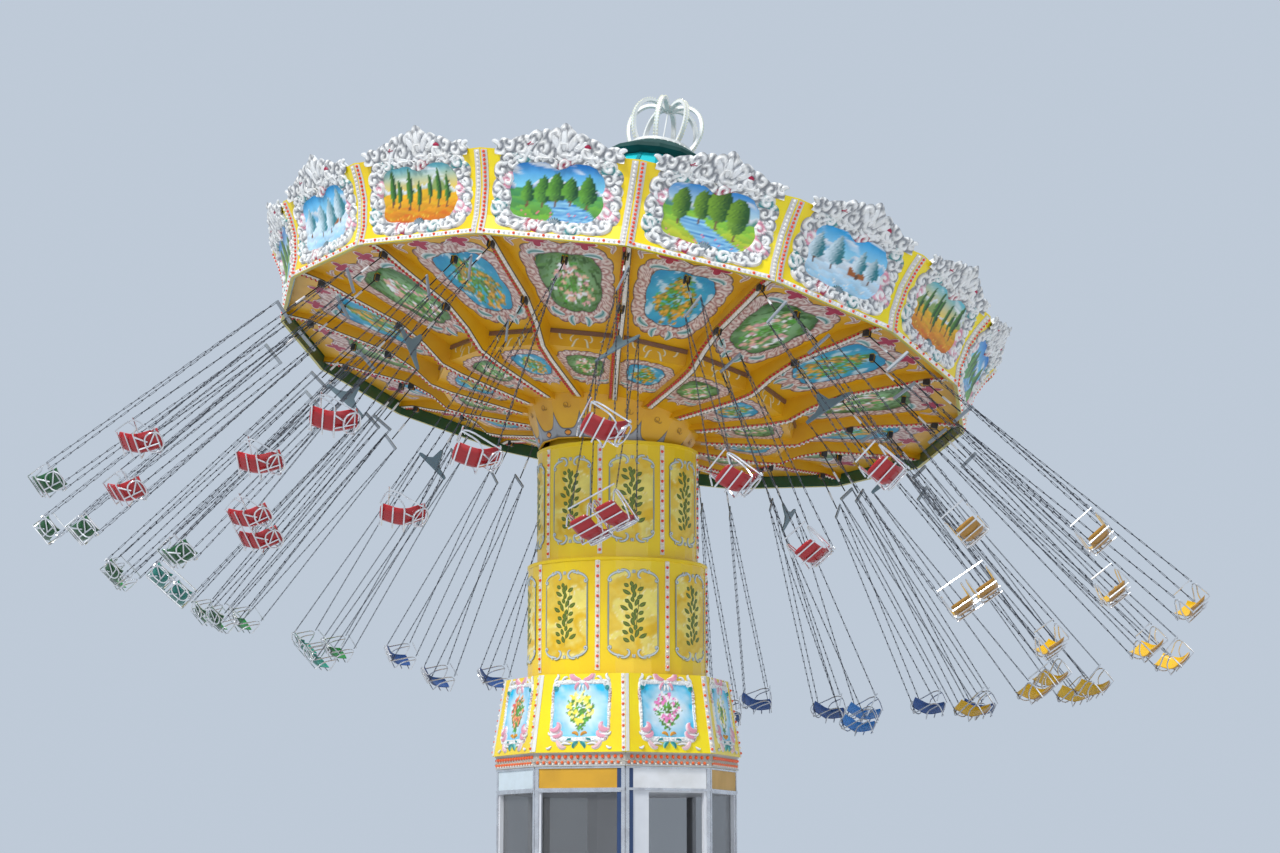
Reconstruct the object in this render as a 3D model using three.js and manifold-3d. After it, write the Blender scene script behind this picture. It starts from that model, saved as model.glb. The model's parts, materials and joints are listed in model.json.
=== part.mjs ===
// A chair swing ride: an eight-sided pay booth and skirt, a two-stage telescopic tower, and a tilted
// sixteen-sided canopy that turns on the tower and carries 48 hanging seats (40 single, 8 double).
// Millimetres and degrees, Z up, origin on the ground on the tower's axis. The pose is the ride in flight.

import * as THREE from "three";
import { mergeVertices } from "three/addons/utils/BufferGeometryUtils.js";
import Module from "manifold-3d";

const wasm = await Module();
wasm.setup();

const GAP = 0.3; // running gap between pieces that touch on the real ride
const rad = THREE.MathUtils.degToRad;

// Booth and skirt: regular octagons, with one corner near azimuth 270
const OCTAGON = 8;
const BASE_TURN = 3.7; // azimuth of the first corner
const BOOTH_R = 1800; // corner radius
const FLOOR_Z = 400;
const WALL = 60;
const SILL_Z = 1150;
const HEAD_Z = 2600; // top of windows and doorway, underside of the ceiling
const CEILING_Z = 2660;
const EAVES_Z = 2970;
const CORE_R = 450;
const WINDOW_W = 1200;
const DOOR_W = 900;
const DOOR_SHIFT = 140; // the doorway's centre off the middle of its face
const DOOR_FACE = 6; // faces are counted from azimuth BASE_TURN
const REAR_DOOR_FACE = 2;
const REAR_DOOR_W = 760;
const REAR_DOOR_SILL_Z = 1500;
const GLASS = 10;
const GLASS_LOW_Z = 1080;
const CORNICE_R = 1830;
const SKIRT_LOW_R = 1886;
const SKIRT_LOW_Z = 3170;
const SKIRT_TOP_R = 1702;
const SKIRT_TOP_Z = 4315;
const SKIRT_WALL = 30;

// Tower: a turntable with a mast, and two drums that slide in each other
const TOWER_TURN = 32.6; // azimuth of a drum's light strip
const DRUM_SIDES = 32;
const MAST_SIDES = 16;
const TABLE_R = 1250;
const TABLE_TOP_Z = 2700;
const MAST_R = 500;
const MAST_TOP_Z = 4150;
const LOWER_R = 1370;
const LOWER_LOW_Z = 4050;
const LOWER_TOP_Z = 6060;
const LOWER_BORE = 1300;
const FLANGE = 50;
const UPPER_R = 1237;
const UPPER_BORE = 1210;
const UPPER_LOW_Z = 5960;
const UPPER_TOP_Z = 7830;
const GUIDE = 90; // height of the band round the upper drum's foot that slides in the lower drum
const HOLE_GAP = 35; // between the lower drum and the skirt
const DECK_Z = 7400;
const DECK = 40;
const POST_R = 250;
const POST_TOP_Z = 8480;

// Tilting head: a lug on a cross pin under the canopy's bearing plate
const PIVOT_Z = 8780;
const LEAN = 12.25; // canopy tilt in flight
const LEAN_AZIMUTH = 39.06; // the canopy's low side
const PIN_R = 60;
const LUG_HALF = 100;
const CHEEK = 60;
const CHEEK_HALF_W = 110;
const LUG_R = 150;
const PLATE_R = 420;
const PLATE_LOW = 170;

// Canopy, in its own frame: heights h are above the rim plane, RIM above the tilt pin
const RIM = 270;
const BAYS = 16;
const HUB_R = 1500;
const HUB = 60;
const RIB_W = 140;
const RIB_INNER_R = 1250;
const RIB_OUTER_R = 5335.7; // the rib's square end just clears the facia's inner corner
const RIB_EDGE = [
  [RIB_OUTER_R, 120],
  [4950, 90],
  [4500, -20],
  [3660, -200],
  [3200, -410],
  [2870, -630],
  [2550, -700],
  [1400, -850],
];
const RIB_TOP_H = 235;
const CEILING_OUTER = [
  [5330, 200],
  [4500, 130],
  [3600, -80],
  [2800, -330],
];
const STEP_H = -580;
const BOWL_TOP = [1363, -770];
const BOWL_LOW = [1050, -1380];
const SKIN = 30;
const FACIA_PROFILE = [
  [5400, 0],
  [5400, 280],
  [5490, 650],
  [5620, 900],
  [5770, 1113],
];
const FACIA = 50;
const CREST = [
  [-900, 0],
  [-820, 110],
  [-560, 150],
  [-330, 260],
  [-60, 300],
  [120, 400],
  [190, 290],
  [450, 210],
  [620, 120],
  [860, 90],
  [930, 0],
];
const CREST_PLATE = 40;
const ROOF_PROFILE = [
  [5330, 275.3],
  [3000, 1350],
  [1600, 2300],
  [900, 3150],
  [730, 3530],
];
const ROOF = 40;
const BRIM_R = 900;
const BRIM_H = 3530;
const BRIM_RISE = 50;
const BRIM = 60;
const CUPOLA_TOP_R = 520;
const CUPOLA_TOP_H = 3880;
const ARCHES = 8;
const ARCH_TURN = 32;
const ARCH_LINE = [
  [480, 3880],
  [590, 4080],
  [640, 4330],
  [575, 4560],
  [420, 4705],
  [230, 4735],
  [60, 4660],
];
const ARCH_W = 70;
const ARCH = 60;
const FINIAL_R = 30;

// Swings: pivots under the ribs (outer, middle) and under the ceiling between ribs (panel)
const RINGS = {
  outer: { radius: 4930, h: 30, length: 5070, turn: 0, less: 0 },
  middle: { radius: 3640, h: -265, length: 4840, turn: 0, less: 8.2 },
  panel: { radius: 4420, h: 50, length: 5130, turn: 11.25, less: 3.3 },
};
const SWING_OUT = 48.4; // mean angle of the outer swings from the vertical
const SWING_WAVE = [
  [3.96, 55.6, 1],
  [1.32, 19, 2],
]; // size, azimuth and order of the waves that lower that angle
const DRIFT = 4; // how far the swing planes turn off the radius, and the wave on it
const DRIFT_WAVE = 8.5;
const DRIFT_AZIMUTH = 288.7;
const ROD = 22;
const ROD_L = 720;
const ROD_HEAD = 25;
const SWIVEL = 100; // below the pivot
const SWIVEL_LAP = 20;
const YAW = 15; // a swing turns outwards on its rod's swivel
const FAR_YAW = { middle_13: 42 };
const CHEEK_T = 30;
const HANGER_HALF = { rib: 45, panel: 30 };
const HANGER_LOW = 35;
const HANGER_TOP = { rib: 110, panel: 92 };
const YOKE_H = 25; // half height of the spreader bar
const YOKE_OVER = 20; // the spreader's ends beyond the chains
const PLATE_H = 260; // height of a double's three-cornered plate
const PLATE_LAP = 60; // the plate's apex above the rod's end
const CHAIN_R = 10;
const FRAME_HALF = { single: 180, double: 360 };
const SEAT_W = 280;
const SEAT_STEP = 400; // between the seats of a double
const ARM_W = 24;
const LAP_BAR = { back: [-251, -229], up: [170, 201] };
const BACK_BAR = { back: [236, 262], up: [4, 34] };
// Side frame in [back, up] pairs from the seat's centre: the arm's top, which the chains stand on,
// and the way back under the arm and round the front post
const ARM_TOP = [
  [-251, 201],
  [300, 11],
];
const CHAIN_FEET = [-200, 236];
const UNDER_ARM = [
  [300, -11],
  [-229, 174],
  [-229, -165],
  [-251, -165],
];
const BUCKET = [
  [-236, -150],
  [100, -150],
  [296, 92],
  [284, 102],
  [92, -134],
  [-236, -134],
];

const twoDigits = (k) => String(k).padStart(2, "0");

// A closed three.js geometry as a solid, its shared vertices merged and its faces turned outwards
function solid(geometry) {
  const bare = geometry.index ? geometry.toNonIndexed() : geometry.clone();
  bare.deleteAttribute("normal");
  bare.deleteAttribute("uv");
  const merged = mergeVertices(bare, 1e-2);
  const index = [];
  for (let i = 0; i < merged.index.count; i += 3) {
    const [a, b, c] = [0, 1, 2].map((k) => merged.index.getX(i + k));
    if (a !== b && b !== c && a !== c) index.push(a, b, c);
  }
  const make = (triVerts) =>
    new wasm.Manifold(
      new wasm.Mesh({ numProp: 3, vertProperties: merged.attributes.position.array, triVerts }),
    );
  const made = make(new Uint32Array(index));
  if (made.volume() > 0) return made;
  for (let i = 0; i < index.length; i += 3) {
    [index[i + 1], index[i + 2]] = [index[i + 2], index[i + 1]];
  }
  return make(new Uint32Array(index));
}

const join = (solids) => solids.reduce((whole, next) => whole.add(next));

// A solid as a three.js geometry
function geometryOf(made) {
  const mesh = made.getMesh();
  const places = new Float32Array(mesh.numVert * 3);
  for (let i = 0; i < mesh.numVert; i += 1) {
    const start = i * mesh.numProp;
    places.set(mesh.vertProperties.subarray(start, start + 3), i * 3);
  }
  return new THREE.BufferGeometry()
    .setAttribute("position", new THREE.BufferAttribute(places, 3))
    .setIndex(new THREE.BufferAttribute(mesh.triVerts, 1));
}

// A box from its lowest to its highest corner
function box(low, high) {
  const size = high.map((v, i) => v - low[i]);
  const middle = high.map((v, i) => (v + low[i]) / 2);
  return new THREE.BoxGeometry(...size).translate(...middle);
}

// A profile of [radius, height] pairs turned about Z in flat sides, with a corner at azimuth turn
function turned(profile, sides, turn) {
  const points = profile.map(([r, z]) => new THREE.Vector2(r, z));
  return new THREE.LatheGeometry(points, sides, rad(turn + 90)).rotateX(Math.PI / 2);
}

const disc = (radius, low, high, sides, turn) =>
  turned(
    [
      [0, low],
      [radius, low],
      [radius, high],
      [0, high],
    ],
    sides,
    turn,
  );

const tube = (outer, inner, low, high, sides, turn) =>
  turned(
    [
      [outer, low],
      [outer, high],
      [inner, high],
      [inner, low],
      [outer, low],
    ],
    sides,
    turn,
  );

// An outline of [across, up] pairs in the XZ plane, made thick along Y about y = 0
function plate(outline, thickness, hole) {
  const points = (pairs) => pairs.map(([x, z]) => new THREE.Vector2(x, z));
  const shape = new THREE.Shape(points(outline));
  if (hole) shape.holes.push(new THREE.Path(points(hole)));
  return new THREE.ExtrudeGeometry(shape, { depth: thickness, bevelEnabled: false })
    .translate(0, 0, -thickness / 2)
    .rotateX(Math.PI / 2);
}

// A straight bar with few sides between two points
function bar(from, to, radius, sides) {
  const a = new THREE.Vector3(...from);
  const b = new THREE.Vector3(...to);
  const along = b.clone().sub(a);
  const outline = new THREE.Shape();
  for (let i = 0; i < sides; i += 1) {
    const angle = (2 * Math.PI * (i + 0.5)) / sides;
    const [x, y] = [radius * Math.cos(angle), radius * Math.sin(angle)];
    if (i === 0) outline.moveTo(x, y);
    else outline.lineTo(x, y);
  }
  const turn = new THREE.Quaternion().setFromUnitVectors(
    new THREE.Vector3(0, 0, 1),
    along.clone().normalize(),
  );
  return new THREE.ExtrudeGeometry(outline, { depth: along.length(), bevelEnabled: false })
    .applyQuaternion(turn)
    .translate(...from);
}

const apothem = (radius, sides) => radius * Math.cos(Math.PI / sides);
const cornerRadius = (flat, sides) => flat / Math.cos(Math.PI / sides);

function named(name, made, colour, roughness, metalness) {
  const geometry = made.isBufferGeometry ? made : geometryOf(made);
  const mesh = new THREE.Mesh(
    geometry,
    new THREE.MeshStandardMaterial({ color: colour, roughness, metalness }),
  );
  mesh.name = name;
  return mesh;
}

// A box that stands across face number n of the booth, centred on it
function faceBox(n, width, low, high, shift) {
  const reach = apothem(BOOTH_R, OCTAGON);
  return box([reach - 2 * WALL, shift - width / 2, low], [reach + WALL, shift + width / 2, high])
    .rotateZ(rad(BASE_TURN + 45 * n + 22.5));
}

// Booth: base with floor, walls with windows and doors cut through, core, ceiling and eaves ring
function booth() {
  const inner = cornerRadius(apothem(BOOTH_R, OCTAGON) - WALL, OCTAGON);
  let walls = solid(tube(BOOTH_R, inner, FLOOR_Z - 10, EAVES_Z, OCTAGON, BASE_TURN));
  for (let n = 0; n < OCTAGON; n += 1) {
    if (n === DOOR_FACE) {
      walls = walls.subtract(solid(faceBox(n, DOOR_W, FLOOR_Z, HEAD_Z, DOOR_SHIFT)));
    } else if (n === REAR_DOOR_FACE) {
      walls = walls.subtract(solid(faceBox(n, REAR_DOOR_W, REAR_DOOR_SILL_Z, HEAD_Z, 0)));
    } else {
      walls = walls.subtract(solid(faceBox(n, WINDOW_W, SILL_Z, HEAD_Z, 0)));
    }
  }
  return join([
    walls,
    solid(disc(BOOTH_R, 0, FLOOR_Z, OCTAGON, BASE_TURN)),
    solid(disc(CORE_R, FLOOR_Z - 10, CEILING_Z - 10, OCTAGON, BASE_TURN)),
    solid(disc(inner + 20, HEAD_Z, CEILING_Z, OCTAGON, BASE_TURN)),
  ]);
}

// One sheet of glass behind all the windows, open at the doorway
function boothGlazing() {
  const outer = cornerRadius(apothem(BOOTH_R, OCTAGON) - WALL - GAP, OCTAGON);
  const inner = cornerRadius(apothem(outer, OCTAGON) - GLASS, OCTAGON);
  const sheet = solid(tube(outer, inner, GLASS_LOW_Z, HEAD_Z - GAP, OCTAGON, BASE_TURN));
  return sheet.subtract(solid(faceBox(DOOR_FACE, WINDOW_W, 0, CEILING_Z, 0)));
}

// Skirt: cornice ring, leaning panels and a top plate that the lower drum passes through
function skirt() {
  const shell = solid(
    turned(
      [
        [CORNICE_R, EAVES_Z + GAP],
        [CORNICE_R, SKIRT_LOW_Z],
        [SKIRT_LOW_R, SKIRT_LOW_Z],
        [SKIRT_TOP_R, SKIRT_TOP_Z],
        [SKIRT_TOP_R - 300, SKIRT_TOP_Z],
        [SKIRT_TOP_R - 300, SKIRT_TOP_Z - SKIRT_WALL],
        [SKIRT_TOP_R - SKIRT_WALL, SKIRT_TOP_Z - SKIRT_WALL],
        [SKIRT_LOW_R - 3 * SKIRT_WALL, SKIRT_LOW_Z],
        [CORNICE_R - 3 * SKIRT_WALL, EAVES_Z + GAP],
        [CORNICE_R, EAVES_Z + GAP],
      ],
      OCTAGON,
      BASE_TURN,
    ),
  );
  const hole = cornerRadius(LOWER_R + HOLE_GAP, DRUM_SIDES);
  return shell.subtract(
    solid(disc(hole, SKIRT_TOP_Z - 100, SKIRT_TOP_Z + 100, DRUM_SIDES, TOWER_TURN)),
  );
}

const turntable = () =>
  solid(disc(TABLE_R, CEILING_Z + GAP, TABLE_TOP_Z, MAST_SIDES, TOWER_TURN)).add(
    solid(disc(MAST_R, TABLE_TOP_Z - 10, MAST_TOP_Z, MAST_SIDES, TOWER_TURN)),
  );

// Lower drum: a tube with a foot flange that rides on the mast
function lowerDrum() {
  const wall = solid(
    tube(LOWER_R, LOWER_BORE, LOWER_LOW_Z, LOWER_TOP_Z, DRUM_SIDES, TOWER_TURN),
  );
  const foot = solid(
    disc(LOWER_BORE + 20, LOWER_LOW_Z, LOWER_LOW_Z + FLANGE, DRUM_SIDES, TOWER_TURN),
  ).subtract(
    solid(disc(MAST_R + GAP, LOWER_LOW_Z - 100, LOWER_TOP_Z, MAST_SIDES, TOWER_TURN)),
  );
  return wall.add(foot);
}

// A shape that is drawn with the tilt pin along X, turned to the pin's real direction
const alongPin = (geometry) => geometry.rotateZ(rad(LEAN_AZIMUTH + 90));

// Upper drum: a tube with a deck, and a post and fork that carry the tilt pin
function upperDrum() {
  const cheeks = [-1, 1].map((side) => {
    const near = side > 0 ? LUG_HALF : -LUG_HALF - CHEEK;
    return solid(
      alongPin(
        box(
          [near, -CHEEK_HALF_W, POST_TOP_Z - 60],
          [near + CHEEK, CHEEK_HALF_W, PIVOT_Z + CHEEK_HALF_W],
        ),
      ),
    );
  });
  const reach = LUG_HALF + CHEEK;
  const guideR = LOWER_BORE - GAP / Math.cos(Math.PI / DRUM_SIDES);
  return join([
    solid(tube(guideR, UPPER_BORE, UPPER_LOW_Z, UPPER_LOW_Z + GUIDE, DRUM_SIDES, TOWER_TURN)),
    solid(tube(UPPER_R, UPPER_BORE, UPPER_LOW_Z, UPPER_TOP_Z, DRUM_SIDES, TOWER_TURN)),
    solid(disc(UPPER_BORE + 10, DECK_Z, DECK_Z + DECK, DRUM_SIDES, TOWER_TURN)),
    solid(disc(POST_R, DECK_Z + 10, POST_TOP_Z, OCTAGON, LEAN_AZIMUTH)),
    ...cheeks,
    solid(alongPin(bar([-reach + 5, 0, PIVOT_Z], [reach - 5, 0, PIVOT_Z], PIN_R, 16))),
  ]);
}

// Tilt head, about the pin at its origin: a lug with an eye, and the canopy's bearing plate
function tiltHead() {
  const eye = cornerRadius(PIN_R + GAP, 16);
  const half = LUG_HALF - GAP;
  const lug = solid(alongPin(box([-half, -LUG_R, -LUG_R], [half, LUG_R, PLATE_LOW + 10])));
  const bearing = solid(disc(PLATE_R, PLATE_LOW, RIM, MAST_SIDES, 0));
  return lug
    .add(bearing)
    .subtract(solid(alongPin(bar([-2 * half, 0, 0], [2 * half, 0, 0], eye, 16))));
}

const raised = (profile) => profile.map(([r, h]) => [r, h + RIM]);

// One rib: a plate from the hub to the rim with a curved lower edge
function rib(azimuth) {
  const over = [
    [RIB_INNER_R, RIB_EDGE.at(-1)[1]],
    [RIB_INNER_R, HUB],
    [RIB_OUTER_R, RIB_TOP_H],
  ];
  return solid(plate(raised([...RIB_EDGE, ...over]), RIB_W).rotateZ(rad(azimuth)));
}

// The two cheeks that hold one swing's rod, in the swing's own place
function hanger(place) {
  const kind = place.ring.turn ? "panel" : "rib";
  const half = HANGER_HALF[kind];
  const near = ROD / 2 + GAP;
  return [-1, 1].map((side) => {
    const low = side > 0 ? near : -near - CHEEK_T;
    return solid(
      box([-half, low, -HANGER_LOW], [half, low + CHEEK_T, HANGER_TOP[kind]])
        .rotateZ(rad(place.heading))
        .translate(...place.pivot),
    );
  });
}

// Ceiling: ribs, hub, stepped ceiling skin, bowl round the tower's head, and the hangers
function ceiling(places) {
  const edge = CEILING_OUTER.at(-1)[0];
  const under = [...CEILING_OUTER, [edge, STEP_H], BOWL_TOP, BOWL_LOW];
  const over = [
    [BOWL_LOW[0] - SKIN, BOWL_LOW[1]],
    [BOWL_TOP[0] - SKIN, BOWL_TOP[1] + SKIN],
    [edge - SKIN, STEP_H + SKIN],
    [edge - SKIN, CEILING_OUTER.at(-1)[1] + SKIN],
    ...CEILING_OUTER.slice(0, -1).reverse().map(([r, h]) => [r, h + SKIN]),
  ];
  const skin = solid(turned(raised([...under, ...over, CEILING_OUTER[0]]), BAYS, 0));
  const hub = solid(disc(HUB_R, RIM + GAP, RIM + HUB, BAYS, 0));
  const ribs = [...Array(BAYS).keys()].map((k) => rib((k * 360) / BAYS));
  return join([skin, hub, ...ribs, ...places.flatMap(hanger)]);
}

// Facia: sixteen flared panels with a carved crest over each
function facia() {
  const inside = FACIA_PROFILE.map(([r, h]) => [r - FACIA, h]).reverse();
  const ring = solid(turned(raised([...FACIA_PROFILE, ...inside, FACIA_PROFILE[0]]), BAYS, 0));
  const [[lowR, lowH], [topR, topH]] = FACIA_PROFILE.slice(-2);
  const lean = Math.atan2(topR - lowR, topH - lowH);
  const crests = [...Array(BAYS).keys()].map((k) => {
    const outline = [[CREST[0][0], -80], ...CREST, [CREST.at(-1)[0], -80]];
    return solid(
      plate(outline, CREST_PLATE)
        .rotateZ(Math.PI / 2)
        .rotateY(lean)
        .translate(apothem(topR, BAYS) - FACIA / 2, 0, topH + RIM)
        .rotateZ(rad(((k + 0.5) * 360) / BAYS)),
    );
  });
  return join([ring, ...crests]);
}

function roofCover() {
  const inside = ROOF_PROFILE.map(([r, h]) => [r, h - ROOF]).reverse();
  return solid(turned(raised([...ROOF_PROFILE, ...inside, ROOF_PROFILE[0]]), BAYS, 0));
}

// Cupola: a brim with a low dome that carries the crown
const cupola = () =>
  solid(
    turned(
      raised([
        [0, BRIM_H + GAP],
        [ROOF_PROFILE.at(-1)[0] + 40, BRIM_H + GAP],
        [BRIM_R, BRIM_H + BRIM_RISE],
        [BRIM_R, BRIM_H + BRIM_RISE + BRIM],
        [CUPOLA_TOP_R, CUPOLA_TOP_H],
        [0, CUPOLA_TOP_H],
      ]),
      MAST_SIDES,
      0,
    ),
  );

// Crown: eight bent arches from a ring to a centre rod
function crown() {
  const arch = (azimuth) => {
    const outer = ARCH_LINE;
    const inner = ARCH_LINE.map(([r, h], i) => {
      const [r0, h0] = ARCH_LINE[Math.max(i - 1, 0)];
      const [r1, h1] = ARCH_LINE[Math.min(i + 1, ARCH_LINE.length - 1)];
      const length = Math.hypot(r1 - r0, h1 - h0);
      return [r - (ARCH * (h1 - h0)) / length, h + (ARCH * (r1 - r0)) / length];
    }).reverse();
    const lifted = [...outer, ...inner].map(([r, h]) => [r, Math.max(h, CUPOLA_TOP_H + 2)]);
    return solid(plate(raised(lifted), ARCH_W).rotateZ(rad(azimuth)));
  };
  const low = CUPOLA_TOP_H + GAP + RIM;
  const foot = solid(tube(CUPOLA_TOP_R - 20, CUPOLA_TOP_R - 110, low, low + 40, ARCHES * 2, 0));
  const rod = solid(disc(FINIAL_R * 2, low, ARCH_LINE.at(-1)[1] + RIM + 40, OCTAGON, 0));
  const arches = [...Array(ARCHES).keys()].map((k) => arch(ARCH_TURN + (k * 360) / ARCHES));
  const reach = CUPOLA_TOP_R - 60;
  const spider = solid(bar([-reach, 0, low + 20], [reach, 0, low + 20], 25, 4));
  return join([foot, rod, spider, ...arches]);
}

// An outline of [back, up] pairs as a plate across X, at a place along X
const upright = (outline, thickness, shift, hole) =>
  solid(
    plate(outline, thickness, hole)
      .rotateZ(Math.PI / 2)
      .translate(shift, 0, 0),
  );

// A bar from side to side of the seat frame
const crossBar = ({ back, up }, half) => solid(box([-half, back[0], up[0]], [half, back[1], up[1]]));

// The height of the arm's top at a place along it
function armTop(back) {
  const [from, to] = ARM_TOP;
  return from[1] + ((back - from[0]) * (to[1] - from[1])) / (to[0] - from[0]);
}

// A side frame with the two chains that carry it, which meet at a height above the seat's centre
function hungFrame(shift, meet) {
  const [front, rear] = CHAIN_FEET.map((back) => ({
    outer: [back + CHAIN_R * Math.sign(back), armTop(back + CHAIN_R * Math.sign(back))],
    inner: [back - CHAIN_R * Math.sign(back), armTop(back - CHAIN_R * Math.sign(back))],
  }));
  const part = CHAIN_R / (rear.inner[0] + CHAIN_R);
  const apex = [0, meet + part * (rear.inner[1] - meet)];
  const outline = [
    ARM_TOP[0],
    front.outer,
    [-CHAIN_R, meet],
    [CHAIN_R, meet],
    rear.outer,
    ARM_TOP[1],
    ...UNDER_ARM,
  ];
  return upright(outline, 2 * CHAIN_R, shift, [apex, front.inner, rear.inner]);
}

// A swing in its own frame: pivot at the origin, X out from the tower, hanging straight down.
// All but the top of the rod is turned on the rod's swivel.
function swingSolid(ring, isDouble, yaw) {
  const seats = isDouble ? [-SEAT_STEP / 2, SEAT_STEP / 2] : [0];
  const half = isDouble ? FRAME_HALF.double : FRAME_HALF.single;
  const holdZ = -ROD_L - (isDouble ? PLATE_H : YOKE_H);
  const pieces = [
    ...seats.map((shift) => upright(BUCKET, SEAT_W, shift)),
    ...[-half, half].map((x) => hungFrame(x, holdZ + ring.length)),
    ...[LAP_BAR, BACK_BAR].map((cross) => crossBar(cross, half)),
  ];
  if (isDouble) pieces.push(upright([...ARM_TOP, ...UNDER_ARM], ARM_W, 0));
  const shoulder = isDouble ? [ROD / 2, PLATE_LAP - ROD_L] : [half + YOKE_OVER, -ROD_L];
  const yoke = [[ROD / 2, -SWIVEL]];
  if (!isDouble) yoke.push([ROD / 2, -ROD_L]);
  yoke.push(shoulder, [half + YOKE_OVER, holdZ - YOKE_H]);
  const hanging = pieces.map((piece) => piece.translate([0, 0, -ring.length]));
  hanging.push(
    solid(plate([...yoke, ...yoke.map(([x, z]) => [-x, z]).reverse()], ROD)),
  );
  const halfRod = ROD / 2;
  const head = box([-halfRod, -halfRod, -SWIVEL - SWIVEL_LAP], [halfRod, halfRod, ROD_HEAD]);
  return join(hanging).rotate([0, 0, yaw]).add(solid(head));
}

// Where each swing hangs, how its swing plane points, and how far out it has swung in flight
const tilt = new THREE.Quaternion().setFromAxisAngle(
  new THREE.Vector3(-Math.sin(rad(LEAN_AZIMUTH)), Math.cos(rad(LEAN_AZIMUTH)), 0),
  rad(LEAN),
);

function swingPlace(ringName, k) {
  const ring = RINGS[ringName];
  const azimuth = (k * 360) / BAYS + ring.turn;
  const reach = ring.radius;
  const waves = SWING_WAVE.map(([size, at, order]) => size * Math.cos(order * rad(azimuth - at)));
  const angle = rad(SWING_OUT - ring.less - waves.reduce((sum, wave) => sum + wave));
  const drift = DRIFT - DRIFT_WAVE * Math.cos(rad(azimuth - DRIFT_AZIMUTH));
  const bearing = rad(azimuth + drift);
  const hang = new THREE.Vector3(
    Math.sin(angle) * Math.cos(bearing),
    Math.sin(angle) * Math.sin(bearing),
    -Math.cos(angle),
  ).applyQuaternion(tilt.clone().invert());
  return {
    name: `${ringName}_${twoDigits(k + 1)}`,
    ring,
    isDouble: ringName === "middle" && k % 2 === 0,
    pivot: [reach * Math.cos(rad(azimuth)), reach * Math.sin(rad(azimuth)), ring.h + RIM],
    heading: THREE.MathUtils.radToDeg(Math.atan2(hang.y, hang.x)),
    out: Math.acos(-hang.z),
    bay: k,
  };
}

const places = Object.keys(RINGS).flatMap((ringName) =>
  [...Array(BAYS).keys()].map((k) => swingPlace(ringName, k)),
);

// Seat colours by quarter of the canopy, singles first; the quarters start at a bay of each ring
const COLOURS = {
  navy: [0x1d4f9e, 0x2b6fd0],
  green: [0x12602a, 0x14a08a],
  red: [0xa01420, 0xa01420],
  yellow: [0xe0a512, 0xe0a512],
};
const QUARTERS = ["yellow", "navy", "green", "red"];

function seatColour(place) {
  const bay = (place.bay + (place.ring.turn ? 3 : 2)) % BAYS;
  const quarter = QUARTERS[Math.floor((bay / BAYS) * QUARTERS.length)];
  return COLOURS[quarter][place.isDouble ? 1 : 0];
}

const ride = new THREE.Group();
ride.add(
  named("booth", booth(), 0xd8dadc, 0.4, 0.3),
  named("booth_glazing", boothGlazing(), 0x8fa6ad, 0.05, 0),
  named("skirt", skirt(), 0xf7e400, 0.4, 0),
  named("turntable_mast", turntable(), 0x6d7072, 0.6, 0.6),
  named("lower_drum", lowerDrum(), 0xf2cf0a, 0.4, 0),
  named("upper_drum", upperDrum(), 0xeec20a, 0.4, 0),
);

const canopy = new THREE.Group();
canopy.position.set(0, 0, PIVOT_Z);
canopy.quaternion.copy(tilt);
canopy.add(
  named("tilt_head", tiltHead(), 0x6d7072, 0.6, 0.6),
  named("ceiling", ceiling(places), 0xe6a208, 0.5, 0),
  named("facia", facia(), 0xffdf00, 0.4, 0),
  named("roof_cover", roofCover(), 0x1fb8b0, 0.6, 0),
  named("cupola", cupola(), 0x0b4d46, 0.5, 0),
  named("crown_ornament", crown(), 0xf2f0ea, 0.5, 0),
);

const shapes = new Map();
for (const place of places) {
  const yaw = FAR_YAW[place.name] ?? YAW;
  const kind = `${place.ring.length} ${place.isDouble} ${yaw}`;
  if (!shapes.has(kind)) {
    shapes.set(kind, geometryOf(swingSolid(place.ring, place.isDouble, yaw)));
  }
  const swing = named(`swing_${place.name}`, shapes.get(kind), seatColour(place), 0.35, 0.1);
  const pose = new THREE.Group();
  pose.position.set(...place.pivot);
  pose.rotation.set(0, -place.out, rad(place.heading), "ZYX");
  pose.add(swing);
  canopy.add(pose);
  const axis = new THREE.Vector3(Math.sin(rad(place.heading)), -Math.cos(rad(place.heading)), 0);
  swing.userData = { axis: axis.applyQuaternion(tilt).toArray(), out: place.out };
}
ride.add(canopy);

export default ride;
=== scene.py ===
"""The chair swing ride, dressed: carved facia, painted ceiling, drums, skirt, booth, crown and forty-eight swings."""

import json
import logging
import math
from dataclasses import dataclass, replace
from enum import Enum

import bpy
import numpy as np
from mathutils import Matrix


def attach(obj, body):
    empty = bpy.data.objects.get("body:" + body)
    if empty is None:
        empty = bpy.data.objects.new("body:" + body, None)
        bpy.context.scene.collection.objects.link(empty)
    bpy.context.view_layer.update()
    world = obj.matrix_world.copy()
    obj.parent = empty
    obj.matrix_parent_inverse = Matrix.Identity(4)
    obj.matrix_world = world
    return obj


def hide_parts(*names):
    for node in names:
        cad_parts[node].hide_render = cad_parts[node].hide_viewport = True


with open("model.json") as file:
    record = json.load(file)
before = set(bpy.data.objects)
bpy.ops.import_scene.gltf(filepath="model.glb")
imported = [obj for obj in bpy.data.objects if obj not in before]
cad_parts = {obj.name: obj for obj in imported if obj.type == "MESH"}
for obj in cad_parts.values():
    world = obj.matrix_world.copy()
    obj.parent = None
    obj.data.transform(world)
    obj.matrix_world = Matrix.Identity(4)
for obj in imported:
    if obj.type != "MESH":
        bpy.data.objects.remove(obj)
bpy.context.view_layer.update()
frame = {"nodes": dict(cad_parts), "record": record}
log = logging.getLogger("swing_ride")

Array = np.ndarray
Rgb = tuple[float, float, float]
Point = tuple[float, float, float]
Profile = tuple[tuple[float, float], ...]

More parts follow.
